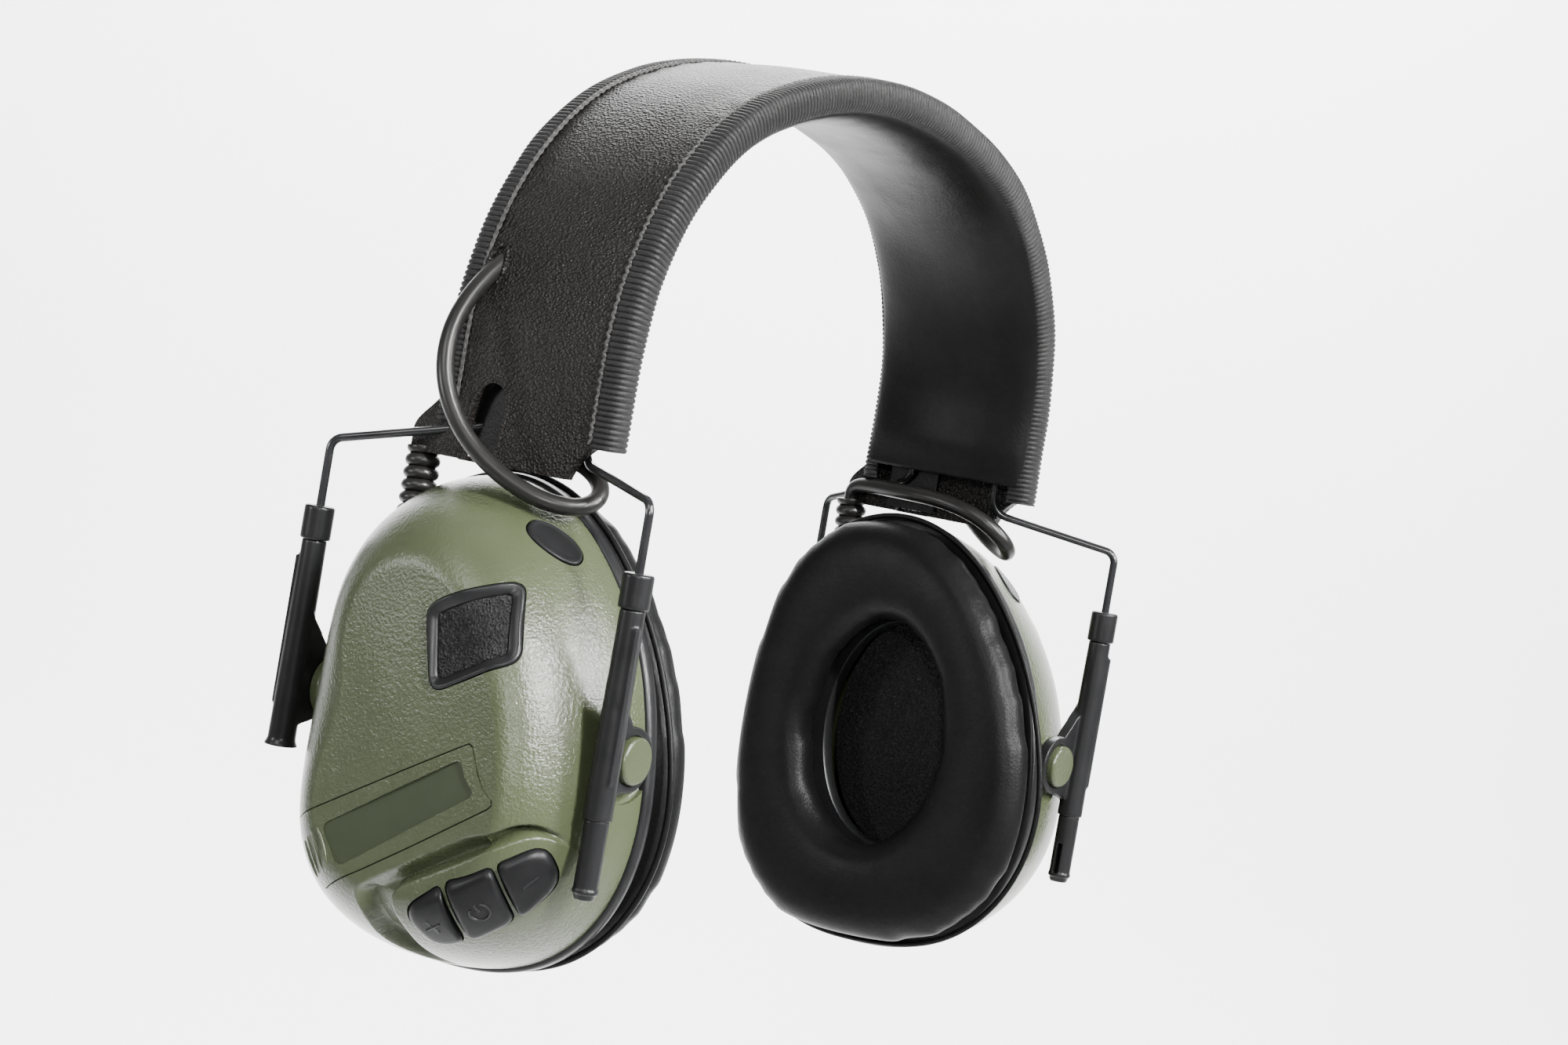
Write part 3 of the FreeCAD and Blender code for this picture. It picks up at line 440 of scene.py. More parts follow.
class Place:
    """A frame on the cup's face: local x forwards up the slant, y across it, z outwards."""

    def __init__(self, at, lift, lean=0.0):
        slant = math.radians(29.4 + lean)
        forward = np.array([0, -math.cos(slant), math.sin(slant)])
        self.out = np.array(lift) / np.linalg.norm(lift)
        self.across = np.cross(self.out, forward)
        self.across /= np.linalg.norm(self.across)
        self.forward = np.cross(self.across, self.out)
        self.at = np.array(at)

    def local(self, points):
        axes = np.stack([self.forward, self.across, self.out], -1)
        return (points - self.at) @ axes

    def world(self, x, y, z):
        x, y, z = (np.asarray(v, float)[..., None] for v in np.broadcast_arrays(x, y, z))
        return self.at + x * self.forward + y * self.across + z * self.out

    def ring(self, outline, height):
        """The outline laid on the cup's skin, raised by height."""
        z = []
        for x, y in outline:
            start = self.world(x, y, 25.0)
            hit = SKIN_TREE.ray_cast(Vector(start), Vector(-self.out))
            z.append(25.0 - hit[3] if hit[0] is not None else np.nan)
        z = np.array(z)
        z = np.where(np.isnan(z), np.nanmean(z), z)
        return self.world(outline[:, 0], outline[:, 1], z + height)

    def prism(self, name, outline, low, high, *finishes):
        rings = [self.world(outline[:, 0], outline[:, 1], h) for h in (low, high)]
        return lofted(name, rings, *finishes)

    def pad(self, name, outline, profile, finish, foot):
        """A closed body with a flat foot. profile lists (inset, height) above the skin, up to its top."""
        rings = [self.world(outline[:, 0], outline[:, 1], foot)]
        rings += [self.ring(drawn_in(outline, inset), height) for inset, height in profile]
        last_inset, last_height = profile[-1]
        inner = drawn_in(outline, last_inset)
        middle = inner.mean(axis=0)
        for share in (0.75, 0.5, 0.25, 0.06):
            rings.append(self.ring(middle + (inner - middle) * share, last_height))
        return lofted(name, rings, finish, sharp=50.0)


DOOR = Place((-122.5, -0.5, -21.5), (-1, 0, 0))
KEYS = Place((-117.6, -26.4, -33.6), (-0.68, -0.53, -0.50))
WINDOW = Place((-120.8, -14.4, 21.6), (-0.93, -0.26, 0.20), -4.0)
PLUG = Place((-100.8, -18.2, 44.0), (-0.30, -0.60, 0.72), -6.0)

SCOOP = rounded(
    [(-28, 11.4), (7, 12.2), (18.0, 9.0), (22.0, -1), (19, -10), (4, -24), (-24, -24), (-33, -6)],
    [4, 6, 5, 6, 6, 6, 6, 6],
)
ISLAND = rounded(
    [(-19.5, 8.6), (8.5, 8.6), (17.6, 5.2), (20.6, -3), (24, -16), (0, -34), (-22, -34), (-22.5, -8)],
    4.0,
)
WINDOW_EDGE = rounded([(-12.0, -10.4), (10.4, -8.8), (13.2, 10.0), (-9.2, 8.8)], [4.2, 3.4, 3.8, 3.6])
FOAM_EDGE = rounded([(-9.7, -7.7), (7.6, -6.4), (10.2, 7.4), (-6.9, 6.3)], [1.6, 1.2, 1.5, 1.2])
DOOR_EDGE = rounded(
    [(-60, 7.95), (28.0, 8.0), (27.4, 1.0), (27.7, -3.0), (29.5, -6.4), (28.2, -7.2),
     (6.3, -8.6), (-10, -9.3), (-60, -9.6)],
    [0.5, 1.2, 2.0, 1.6, 0.6, 0.6, 4.0, 4.0, 0.5],
)
LABEL_EDGE = rounded(
    [(-17.5, 3.6), (24.2, 5.4), (23.6, 1.0), (25.4, -3.2), (-15.8, -6.6)], [2.2, 2.0, 2.0, 2.4, 2.2]
)
KEY_EDGES = {
    "plus": rounded([(-18.0, 5.2), (-5.8, 6.9), (-10.2, -8.2), (-17.6, -7.0)], [5.0, 1.7, 2.2, 4.6]),
    "power": rounded([(-4.6, 7.0), (7.2, 5.6), (2.6, -9.2), (-9.0, -8.4)], [1.9, 1.9, 2.2, 2.2]),
    "minus": rounded([(8.3, 5.4), (18.4, 1.8), (15.2, -9.0), (3.8, -9.6)], [1.8, 5.0, 4.4, 2.0]),
}


HOLLOW_DEEP, HIDDEN_DEEP, ISLAND_RISE = 3.9, 4.4, 0.4


def skin_normals(rings):
    ahead = np.roll(rings, -1, 1) - np.roll(rings, 1, 1)
    over = np.gradient(rings, axis=0)
    normal = np.cross(ahead, over)
    length = np.linalg.norm(normal, axis=2, keepdims=True)
    normal = normal / np.maximum(length, 1e-9)
    outward = rings - np.array([-95.0, 0.0, CUP_MIDDLE])
    return normal * np.sign((normal * outward).sum(axis=2, keepdims=True))


def scooped(rings, hidden=False):
    """The skin with the hollow round the keys pressed in, and the island left standing.

    The hidden inner skin is pressed deeper and wider, so the wall stays whole below the hollow.
    """
    flat = rings.reshape(-1, 3)
    at = KEYS.local(flat)
    near = (at[:, 2] > -24) & (flat[:, 0] < -96)
    depth = np.zeros(len(flat))
    inside = distance_inside(at[near, :2], even(SCOOP, 90))
    fade = smooth_step(at[near, 1], -24, -8)
    if hidden:
        depth[near] = HIDDEN_DEEP * smooth_step(inside, -5.0, -1.5)
    else:
        island = distance_inside(at[near, :2], even(ISLAND, 90))
        trench = smooth_step(inside, -0.2, 1.5) * (1 - smooth_step(island, -1.7, 0.0))
        depth[near] = fade * (HOLLOW_DEEP * trench - ISLAND_RISE * smooth_step(island, -0.6, 0.3))
    return (flat - skin_normals(rings).reshape(-1, 3) * depth[:, None]).reshape(rings.shape)


def shell_blank(name, outer, press=False):
    """The hollow cup as one closed mesh, from its outer rings."""
    turns, split = outer.shape[1], len(outer)
    inner = cup_rings(WALL, turns=turns, steps=32, face_rows=20)
    if press:
        inner = scooped(inner, hidden=True)
    rings = np.concatenate([outer, inner[::-1]])
    faces = []
    for low, high in ((0, split), (split, len(rings))):
        faces += (np.array(grid_faces(high - low, turns)) + low * turns).tolist()
    last = (len(rings) - 1) * turns
    faces += [[i, (i + 1) % turns, last + (i + 1) % turns, last + i] for i in range(turns)]
    top = (split - 1) * turns
    faces.append(list(range(top, top + turns)))
    faces.append(list(range(top + turns, top + 2 * turns)))
    return make_mesh(name, rings.reshape(-1, 3), faces, OLIVE, OLIVE_SMOOTH)


# Round the pivots' axis, as (radius, distance from the middle).
POCKET = ((10.2, 47.0), (10.2, 42.6), (9.6, 42.0))
SEAT = ((7.3, 35.0), (7.3, 41.6), (6.9, 41.9))


def turned(profile, side):
    """A body round the pivots' axis, in front for side -1 and behind for side 1."""
    spokes = np.linspace(0, 2 * math.pi, 40, endpoint=False)
    disc = np.stack([np.cos(spokes), np.zeros(40), np.sin(spokes)], -1)
    rings = [wide * disc + np.array([-PIVOT_OUT, side * y, 0]) for wide, y in profile]
    return lofted("turned", rings, OLIVE)


def shell_openings(shell):
    """Cuts what both cups have, and adds the seats of the pivots."""
    grown = drawn_in(even(WINDOW_EDGE, 72), -0.25)
    combine(shell, WINDOW.prism("cutter", grown, -6, 12, OLIVE, OLIVE_SMOOTH), "DIFFERENCE")
    oval = oval_outline(14.8, 9.4, 48)
    combine(shell, PLUG.prism("cutter", oval, -6, 8, OLIVE, OLIVE_SMOOTH), "DIFFERENCE")
    for side in (-1, 1):
        combine(shell, turned(POCKET, side), "DIFFERENCE")
        combine(shell, turned(SEAT, side), "UNION")


def oval_outline(length, width, count):
    """A slot-like oval that is a little pointed at its ends."""
    t = np.linspace(0, 2 * math.pi, count, endpoint=False)
    x, y = signed_power(np.cos(t), 0.92), signed_power(np.sin(t), 0.85)
    return np.stack([x * length / 2, y * width / 2], -1)


# ---------------------------------------------------------------- shells, door and keys

right_shell = shell_blank("right_cup_shell", scooped(SKIN), press=True)
door = link("battery_door_skin", right_shell.data.copy())
DOOR_LINE, DOOR_GAP = even(DOOR_EDGE, 160), 0.28
combine(right_shell, DOOR.prism("cutter", DOOR_LINE, -4.5, 12, OLIVE, OLIVE_SMOOTH), "DIFFERENCE")
inner_line = DOOR_LINE + np.where(DOOR_LINE[:, 1:] > 0, (0, -DOOR_GAP), (0, DOOR_GAP))
inner_line[:, 0] -= DOOR_GAP
combine(door, DOOR.prism("cutter", inner_line, -4.4, 12, OLIVE, OLIVE_SMOOTH), "INTERSECT")
combine(door, DOOR.prism("cutter", even(LABEL_EDGE, 90), -0.25, 4, OLIVE_SMOOTH), "DIFFERENCE")
for key_edge in KEY_EDGES.values():
    hole = drawn_in(even(key_edge, 56), -0.35)
    combine(right_shell, KEYS.prism("cutter", hole, -14, 8, OLIVE, OLIVE_SMOOTH), "DIFFERENCE")
shell_openings(right_shell)
for made in (right_shell, door):
    shade(made, 34.0)
settle(right_shell, "olive_plastic", "right_cup", "right_shell")
settle(door, "olive_plastic", "battery_door", "battery_door")

left_form = shell_blank("left_form", SKIN)
shell_openings(left_form)
left_shell = mirrored(left_form, "left_cup_shell")
bpy.data.objects.remove(left_form)
shade(left_shell, 34.0)
settle(left_shell, "olive_plastic", "left_cup", "left_shell")

for count, x in enumerate((-18.6, -20.7, -22.8, -24.8)):
    y = np.linspace(3.4 - 0.4 * count, -5.2 - 0.3 * count, 16)
    bow = x + 0.5 * np.cos((y + 1) / 4.6 * math.pi / 2)
    path = DOOR.ring(np.stack([bow, y], -1), -0.12)
    wide = 0.5 * np.sin(np.linspace(0.25, math.pi - 0.25, 16)) ** 0.5
    ridge = tube(f"door_ridge_{count}", path, wide, OLIVE, 10)
    settle(ridge, "olive_plastic", "battery_door")

KEY_TOP, KEY_FOOT = 1.98, -6.0
KEY_SIDES = [(0.0, 0.3), (0.12, 0.95), (0.45, 1.5), (1.0, 1.85), (1.7, KEY_TOP), (2.6, 1.95)]
for label, key_edge in KEY_EDGES.items():
    key = KEYS.pad(f"key_cap_{label}", even(key_edge, 64), KEY_SIDES, RUBBER, KEY_FOOT)
    settle(key, "rubber", f"key_{label}", f"key_{label}")


def symbol(label, strokes):
    """A faint raised sign on a key: each stroke is a thin line of (x, y) points."""
    for count, stroke in enumerate(strokes):
        path = KEYS.ring(np.asarray(stroke, float), KEY_TOP)
        made = tube(f"key_sign_{label}_{count}", path, 0.28, MARK, 8)
        settle(made, "rubber", f"key_{label}")


circle = np.linspace(0.65, 2 * math.pi - 0.65, 24)
symbol("plus", [[(-15.0, -0.6), (-11.0, 0.0)], [(-13.4, 1.6), (-12.6, -2.2)]])
symbol("power", [
    np.stack([-0.9 + 2.2 * np.sin(circle), -1.4 + 2.2 * np.cos(circle)], -1),
    [(-0.9, -1.2), (-0.7, 1.2)],
])
symbol("minus", [[(9.6, -2.6), (13.4, -2.8)]])

# ---------------------------------------------------------------- window, plug and base plate


def matched(outer, inner, count=120):
    """Two outlines as equally many points that face each other across the gap."""
    outer, inner = even(outer, count), even(inner, count * 4)
    nearest = []
    middle = inner.mean(axis=0)
    turn = np.arctan2(*(inner - middle).T[::-1])
    for point in outer:
        angle = math.atan2(point[1] - middle[1], point[0] - middle[0])
        nearest.append(inner[np.argmin(np.abs((turn - angle + math.pi) % (2 * math.pi) - math.pi))])
    return outer, np.array(nearest)


def mic_frame():
    outer, inner = matched(WINDOW_EDGE, FOAM_EDGE)
    profile = [
        (0.0, -3.0), (0.0, 0.05), (0.03, 0.4), (0.12, 0.6), (0.26, 0.5), (0.85, -0.45), (0.96, -0.75),
        (1.0, -1.2), (1.0, -3.2),
    ]
    rings = [WINDOW.ring(outer + (inner - outer) * share, height) for share, height in profile]
    return lofted("right_window_frame", rings, ARM_PLASTIC, closed=True, sharp=55)


def mic_foam():
    outline = even(FOAM_EDGE, 120)
    middle = outline.mean(axis=0)
    rings = [WINDOW.ring(outline, -3.0)]
    for share in np.linspace(0.995, 0.03, 40):
        ring = WINDOW.ring(middle + (outline - middle) * share, -1.0)
        ring += WINDOW.out * rng.normal(0, 0.12, (len(outline), 1)) * min(share * 3, 1)
        rings.append(ring)
    return lofted("right_window_foam", rings, FOAM, sharp=180)


settle_both(mic_frame(), "arm_plastic", "right_cup", "right_mic_frame")
settle_both(mic_foam(), "foam", "right_cup", "right_mic_foam")
plug = PLUG.pad(
    "right_plug", oval_outline(14.2, 8.9, 56),
    [(0.0, 0.0), (0.12, 0.28), (0.45, 0.42), (0.8, 0.34), (1.1, 0.2)], RUBBER, -2.6,
)
settle_both(plug, "rubber", "right_cup", "right_port_plug")


def egg(grow, turns=240):
    theta = np.linspace(0, 2 * math.pi, turns, endpoint=False)
    reach = rim_radius(theta) + grow
    return np.stack([-reach * np.sin(theta), CUP_MIDDLE + reach * np.cos(theta)], -1)


def ear_oval(grow, turns=240):
    theta = np.linspace(0, 2 * math.pi, turns, endpoint=False)
    return np.stack([-(20.0 + grow) * np.sin(theta), (29.0 + grow) * np.cos(theta)], -1)


def flat_ring(outline, out):
    return np.column_stack([np.full(len(outline), -out), outline])


def base_plate():
    face = RIM_OUT - 4.0
    rings = [flat_ring(egg(g), out) for g, out in (
        (-2.2, RIM_OUT + 0.8), (-2.2, RIM_OUT), (0.3, RIM_OUT - 0.05), (0.75, RIM_OUT - 0.35),
        (1.0, RIM_OUT - 1.0), (1.0, face + 1.0), (0.7, face + 0.35), (0.0, face + 0.02), (-3.0, face),
    )]
    rings += [flat_ring(ear_oval(g), out) for g, out in (
        (3.0, face), (0.5, face), (0.0, face + 0.5),
        (0.0, RIM_OUT - 0.4), (0.6, RIM_OUT), (2.5, RIM_OUT + 0.8),
    )]
    return lofted("right_plate", rings, ARM_PLASTIC, closed=True, sharp=45)


settle_both(base_plate(), "arm_plastic", "right_cup", "right_base_plate")

# ---------------------------------------------------------------- ear cushions


def cushion_edge(grow, turns=240):
    """The cushion's outline, fuller at the front and shorter at the foot than the cup's rim."""
    theta = np.linspace(0, 2 * math.pi, turns, endpoint=False)
    lobe, heel = np.exp(-(((theta - 1.8) / 0.6) ** 2)), np.exp(-(((theta - 3.05) / 0.5) ** 2))
    return egg(1.0 + grow + 3.0 * lobe - 1.4 * heel, turns)


def cushion_form(swell):
    """The ring-shaped cushion before it is filled: a rounded bar between the rim and the ear opening."""
    turns, sides = 120, 28
    outer = cushion_edge(0.0, turns)
    inner = ear_oval(-0.2, turns)
    middle, half = (outer + inner) / 2, (outer - inner) / 2
    rings = []
    for phi in np.linspace(0, 2 * math.pi, sides, endpoint=False):
        c, s = math.cos(phi), math.sin(phi)
        wide = math.copysign(abs(c) ** 0.62, c)
        deep = math.copysign(abs(s) ** 0.72, s)
        flat = middle + half * wide
        out = 84.4 - 6.4 * (1 + deep) - swell * max(deep, 0) * (1 - abs(wide) ** 2)
        rings.append(flat_ring(flat, out))
    return lofted("right_ear_cushion", rings, LEATHERETTE, closed=True, sharp=180)


def inflate(piece, voxel, frames, cap, pinned):
    """Fills a closed cover as a cushion is filled. No point moves further than cap."""
    step = piece.modifiers.new("remesh", "REMESH")
    step.mode, step.voxel_size = "VOXEL", voxel * 0.001
    bake(piece)
    start = np.array([v.co for v in piece.data.vertices])
    group = piece.vertex_groups.new(name="held")
    group.add([int(i) for i in np.where(pinned(start * 1000))[0]], 1.0, "REPLACE")
    cloth = piece.modifiers.new("cloth", "CLOTH")
    cloth.settings.vertex_group_mass = "held"
    cloth.settings.use_pressure = True
    cloth.settings.uniform_pressure_force = 4.0
    cloth.settings.effector_weights.gravity = 0.0
    cloth.settings.quality = 6
    cloth.point_cache.frame_start, cloth.point_cache.frame_end = 1, frames
    for number in range(1, frames + 1):
        bpy.context.scene.frame_set(number)
    bake(piece)
    bpy.context.scene.frame_set(1)
    end = np.array([v.co for v in piece.data.vertices])
    moved = end - start
    far = np.linalg.norm(moved, axis=1)
    moved *= np.minimum(1, cap * 0.001 / np.maximum(far, 1e-9))[:, None]
    piece.data.vertices.foreach_set("co", (start + moved).astype(np.float32).ravel())
    piece.vertex_groups.clear()
    step = piece.modifiers.new("relax", "SMOOTH")
    step.iterations = 3
    piece.modifiers.new("finer", "SUBSURF").levels = 1
    bake(piece)
    shade(piece, 180)


cushion = cushion_form(0.5)
inflate(cushion, 4.0, 20, 1.6, lambda at: at[:, 0] < -83.0)
for padded in settle_both(cushion, "leatherette", "right_cup", "right_cushion"):
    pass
seam_line = flat_ring(cushion_edge(0.2), 83.4)
seam = tube("right_cushion_seam", seam_line, 0.75, LEATHERETTE, 10, closed=True)
settle_both(seam, "leatherette", "right_cup")
liner = lofted(
    "right_liner_foam",
    [flat_ring(ear_oval(1.8), 97.0), flat_ring(ear_oval(1.8), 93.2)]
    + [flat_ring(ear_oval(1.8) * f, 93.0 + 0.4 * f) for f in (0.97, 0.8, 0.6, 0.4, 0.2, 0.02)],
    FOAM,
)
settle_both(liner, "foam", "right_cup", "right_foam_liner")

# ---------------------------------------------------------------- the arch of the headband

HALF, TOP, SIDE_ARC, CROWN_ARC = 91.0, 156.0, 67.0, 131.0
SHOULDER = HALF - SIDE_ARC
TURN = math.asin(SHOULDER / (CROWN_ARC - SIDE_ARC))
SPRING = TOP - CROWN_ARC + (CROWN_ARC - SIDE_ARC) * math.cos(TURN)
SIDE_RUN = SIDE_ARC * (math.pi / 2 - TURN)
CROWN_RUN = 2 * CROWN_ARC * TURN


def arch(along):
    """Points and outward normals on the wires' line. along is 0 at the crown, negative on the right."""
    along = np.asarray(along, float)
    s, sign = np.abs(along), np.sign(along)
    over = np.minimum(s / CROWN_ARC, TURN)
    side = np.clip((s - CROWN_RUN / 2) / SIDE_ARC, 0, math.pi / 2 - TURN)
    down = np.maximum(s - CROWN_RUN / 2 - SIDE_RUN, 0)
    angle = over + side
    x = CROWN_ARC * np.sin(over) + SIDE_ARC * (np.sin(angle) - np.sin(over))
    z = TOP - CROWN_ARC + CROWN_ARC * np.cos(over) + SIDE_ARC * (np.cos(angle) - np.cos(over)) - down
    return np.stack([sign * x, z], -1), np.stack([sign * np.sin(angle), np.cos(angle)], -1)


def reach_to(foot):
    """How far along the arch its line comes down to height foot."""
    return CROWN_RUN / 2 + SIDE_RUN + SPRING - foot


def on_arch(along, y, offset):
    along, y, offset = np.broadcast_arrays(along, y, offset)
    at, normal = arch(along)
    flat = at + normal * offset[..., None]
    return np.stack([flat[..., 0], y, flat[..., 1]], -1)


def wave(points, count, scale, seed):
    """Soft folds: a sum of waves in random directions, of about unit size."""
    draw = np.random.default_rng(seed)
    total = np.zeros(points.shape[:-1])
    for _ in range(count):
        way = draw.normal(size=points.shape[-1])
        way /= np.linalg.norm(way)
        total += np.sin(points @ way / (scale * draw.uniform(0.6, 1.6)) + draw.uniform(0, 6.3))
    return total / math.sqrt(count)


LEATHER_END, STRIP_END = reach_to(57.2), reach_to(69.0)
LEATHER_HALF, LEATHER_IN, LEATHER_OUT = 24.2, 2.15, 4.35
SLOT_AT, SLOT_TILT, SLOT_POWER = (10.5, 65.0), math.radians(12), 0.75

# The right side is the modelled one. A sign of -1 mirrors it to the left.
SIDES = (("right", 1), ("left", -1))


def leather_strip():
    rows, cols = 460, 66
    along = np.linspace(-LEATHER_END, LEATHER_END, rows)[:, None]
    y = np.linspace(-LEATHER_HALF, LEATHER_HALF, cols)[None, :]
    a, b = np.broadcast_arrays(along, y)
    flat = np.stack([a, b], -1)
    share = np.abs(b) / LEATHER_HALF
    crown = 1.3 * (1 - share**2) - 0.5 * smooth_step(share, 0.74, 0.95)
    folds = 0.14 * wave(flat, 9, 7.5, 3) + 0.05 * wave(flat * (0.5, 1.6), 7, 2.6, 5)
    flare = 7.0 * smooth_step(b, 4, 24) * smooth_step(np.abs(a), LEATHER_END - 15, LEATHER_END - 5)
    pucker = 0.14 * np.sin(a / 1.35) * smooth_step(share, 0.6, 0.8) * (1 - smooth_step(share, 0.84, 0.95))
    outer = LEATHER_OUT + crown + folds * (1 - smooth_step(share, 0.8, 1.0)) + pucker
    outer = on_arch(a, b + flare, outer)
    inner = on_arch(a, b + flare, LEATHER_IN)
    rings = [np.concatenate([outer[i], inner[i, ::-1]]) for i in range(rows)]
    return lofted("leather_strip", rings, LEATHER, sharp=50)


def tilted_oval(half_y, half_z, tilt, power, count):
    t = np.linspace(0, 2 * math.pi, count, endpoint=False)
    y, z = half_y * signed_power(np.cos(t), power), half_z * signed_power(np.sin(t), power)
    c, s = math.cos(tilt), math.sin(tilt)
    return y * c - z * s, y * s + z * c


def disc_cutter(centre, half_y, half_z, tilt, power, sign):
    """A cutter through the strip's leg, across X, with an oval section."""
    y, z = tilted_oval(half_y, half_z, tilt, power, 48)
    rings = []
    for x in (HALF - 6.0, HALF + 20.0):
        rings.append(np.stack([np.full(48, -sign * x), centre[0] + y, centre[1] + z], -1))
    return lofted("cutter", rings, LEATHER)


strip = leather_strip()
LEG_CUTS = (
    (SLOT_AT, 4.75, 10.5, SLOT_TILT, SLOT_POWER),
    ((-28.2, 52.5), 15.0, 15.0, 0.0, 1.0),
    ((33.0, 51.0), 6.0, 6.5, 0.3, 1.0),
)
for _, sign in SIDES:
    for cut in LEG_CUTS:
        combine(strip, disc_cutter(*cut, sign), "DIFFERENCE")
shade(strip, 50)
settle(strip, "headband_leather", "headband", "headband_leather")


def slot_rim(side, sign):
    """The raised, turned edge of the slot in the strip's end."""
    y, z = tilted_oval(5.5, 11.3, SLOT_TILT, SLOT_POWER, 90)
    y, z = y + SLOT_AT[0], np.maximum(z + SLOT_AT[1], 57.6)
    x = HALF + LEATHER_OUT + 0.69 - 0.9 * (y / LEATHER_HALF) ** 2
    path = np.stack([-sign * x, y, z], -1)
    rim = tube(f"{side}_slot_rim", path, 0.62, LEATHER, 10, closed=True)
    return settle(rim, "headband_leather", "headband")


rims = [slot_rim(side, sign) for side, sign in SIDES]


def slot_backing(side, sign):
    """The dark ply behind the slot, between the wires and the leather."""
    along = reach_to(np.linspace(80.0, 58.2, 24))[:, None]
    y = np.linspace(3.5, 18.0, 16)[None, :]
    outer, inner = on_arch(along, y, 2.05), on_arch(along, y, 1.2)
    rings = [np.concatenate([out, ply[::-1]]) * (-sign, 1, 1) for out, ply in zip(outer, inner)]
    return settle(lofted(f"{side}_slot_backing", rings, LEATHERETTE), "leatherette", "headband")


for side, sign in SIDES:
    slot_backing(side, sign)


def padding():
    rows, sides = 320, 44
    along = np.linspace(-STRIP_END, STRIP_END, rows)
    t = np.linspace(0, 2 * math.pi, sides, endpoint=False)
    across = 24.0 * signed_power(np.cos(t), 0.45)
    lift = np.sin(t)
    rings = []
    for s in along:
        near_end = smooth_step(np.abs(s), STRIP_END - 10, STRIP_END)
        flat = np.stack([np.full(sides, s), across], -1)
        dome = np.maximum(1 - (across / 24.0) ** 2, 0) ** 0.6
        down = np.where(lift < 0, -(0.4 + (5.6 - 2.0 * near_end) * dome), 0.0)
        crease = 0.3 * wave(flat, 8, 6.0, 11) * (lift < 0) * dome
        rings.append(on_arch(s, across, -1.6 + down + crease + 0.4 * (lift > 0)))
    return lofted("padded_lining", rings, LEATHERETTE, sharp=180)


lining = padding()
settle(lining, "leatherette", "headband", "headband_pad")


def binding(name, sign):
    """The ribbed tape over one long edge."""
    pitch, samples = 1.25, 6
    reach = reach_to(65.0)
    rows = int(2 * reach / pitch * samples)
    section = even(np.array([
        (19.6, 4.5), (19.6, 5.2), (20.6, 5.55), (23.2, 5.35), (24.6, 4.7), (25.2, 3.2), (25.3, 1.2),
        (25.1, -0.8), (24.4, -2.2), (22.8, -2.9), (20.2, -3.1), (19.8, -2.4), (23.4, -1.6),
        (24.1, 0.0), (24.1, 2.4), (23.4, 4.0),
    ]), 36)
    spoke = section - np.array([22.6, 1.2])
    spoke /= np.linalg.norm(spoke, axis=1)[:, None]
    rings = []
    for i, s in enumerate(np.linspace(-reach, reach, rows)):
        phase = (i % samples) / samples
        rib = 0.46 * abs(math.sin(math.pi * phase)) ** 0.6 - 0.34
        sway = 0.22 * math.sin(s / 7.1) + 0.15 * math.sin(s / 3.3 + 1)
        skin = section + spoke * rib
        rings.append(on_arch(s, sign * (skin[:, 0] + sway * 0.5), skin[:, 1] + 0.1 * sway))
    return lofted(name, rings, BINDING, sharp=60)


def overlock(name, sign):
    """The line of stitches along a binding's inner edge."""
    reach = reach_to(66.0)
    s = np.linspace(-reach, reach, 2600)
    beat = s / 2.0
    y = 19.1 + 0.42 * np.abs(np.sin(math.pi * beat))
    lift = 5.2 + 0.2 * np.cos(2 * math.pi * beat)
    path = on_arch(s, sign * y, lift)
    return tube(name, path, 0.32 + 0.2 * np.abs(np.sin(math.pi * beat)), THREAD, 8)


for where, sign in (("front", -1), ("rear", 1)):
    settle(binding(f"tape_{where}", sign), "binding", "headband", f"binding_{where}")
    settle(overlock(f"overlock_{where}", sign), "binding", "headband")

# ---------------------------------------------------------------- leads

BOOT_TIP = np.array([-92.4, 29.0, 57.4])
BOOT_WAY = BOOT_TIP - np.array([-94.0, 27.0, 33.0])
BOOT_WAY /= np.linalg.norm(BOOT_WAY)
BOOT_BACK, BOOT_PITCH = 15.5, 2.9
LEAD = [
    BOOT_TIP - 6 * BOOT_WAY, BOOT_TIP, BOOT_TIP + 5.4 * BOOT_WAY, (-86.5, 13, 62.6), (-85, -3, 62.8),
    (-86, -15, 60), (-90, -21.5, 54.6), (-96.5, -19.5, 50.9), (-102.5, -12, 52), (-106, -3, 56),
    (-108.5, 5, 62), (-110, 10.5, 69.5), (-109.8, 14, 77.5), (-107, 16, 86), (-101.5, 16.5, 94),
    (-94.5, 16, 101), (-87.8, 15.5, 106), (-82.0, 15.5, 111.0),
]


def ribbed_boot():
    """The strain relief, with ribs that get a little smaller towards its tip."""
    run = np.linspace(-BOOT_BACK, 0.8, 220)
    rib = np.abs(np.sin(math.pi * (run + BOOT_BACK) / BOOT_PITCH)) ** 0.5
    wide = 2.9 + (1.55 - 0.03 * (run + BOOT_BACK)) * rib
    return tube("right_ribbed_boot", BOOT_TIP + run[:, None] * BOOT_WAY, wide, CABLE, 30)


settle_both(ribbed_boot(), "rubber", "right_cup", "right_lead_boot")
whole_lead = spline(LEAD, 16)
front = int(np.argmin(whole_lead[:, 1]))
for side, sign in SIDES:
    flip = np.array([sign, 1, 1])
    low = tube(f"{side}_lead_low", whole_lead[: front + 1] * flip, 2.05, CABLE, 24)
    high = tube(f"{side}_lead_high", whole_lead[front:] * flip, 2.05, CABLE, 24)
    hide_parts(f"{side}_lead")
    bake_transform(low)
    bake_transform(high)


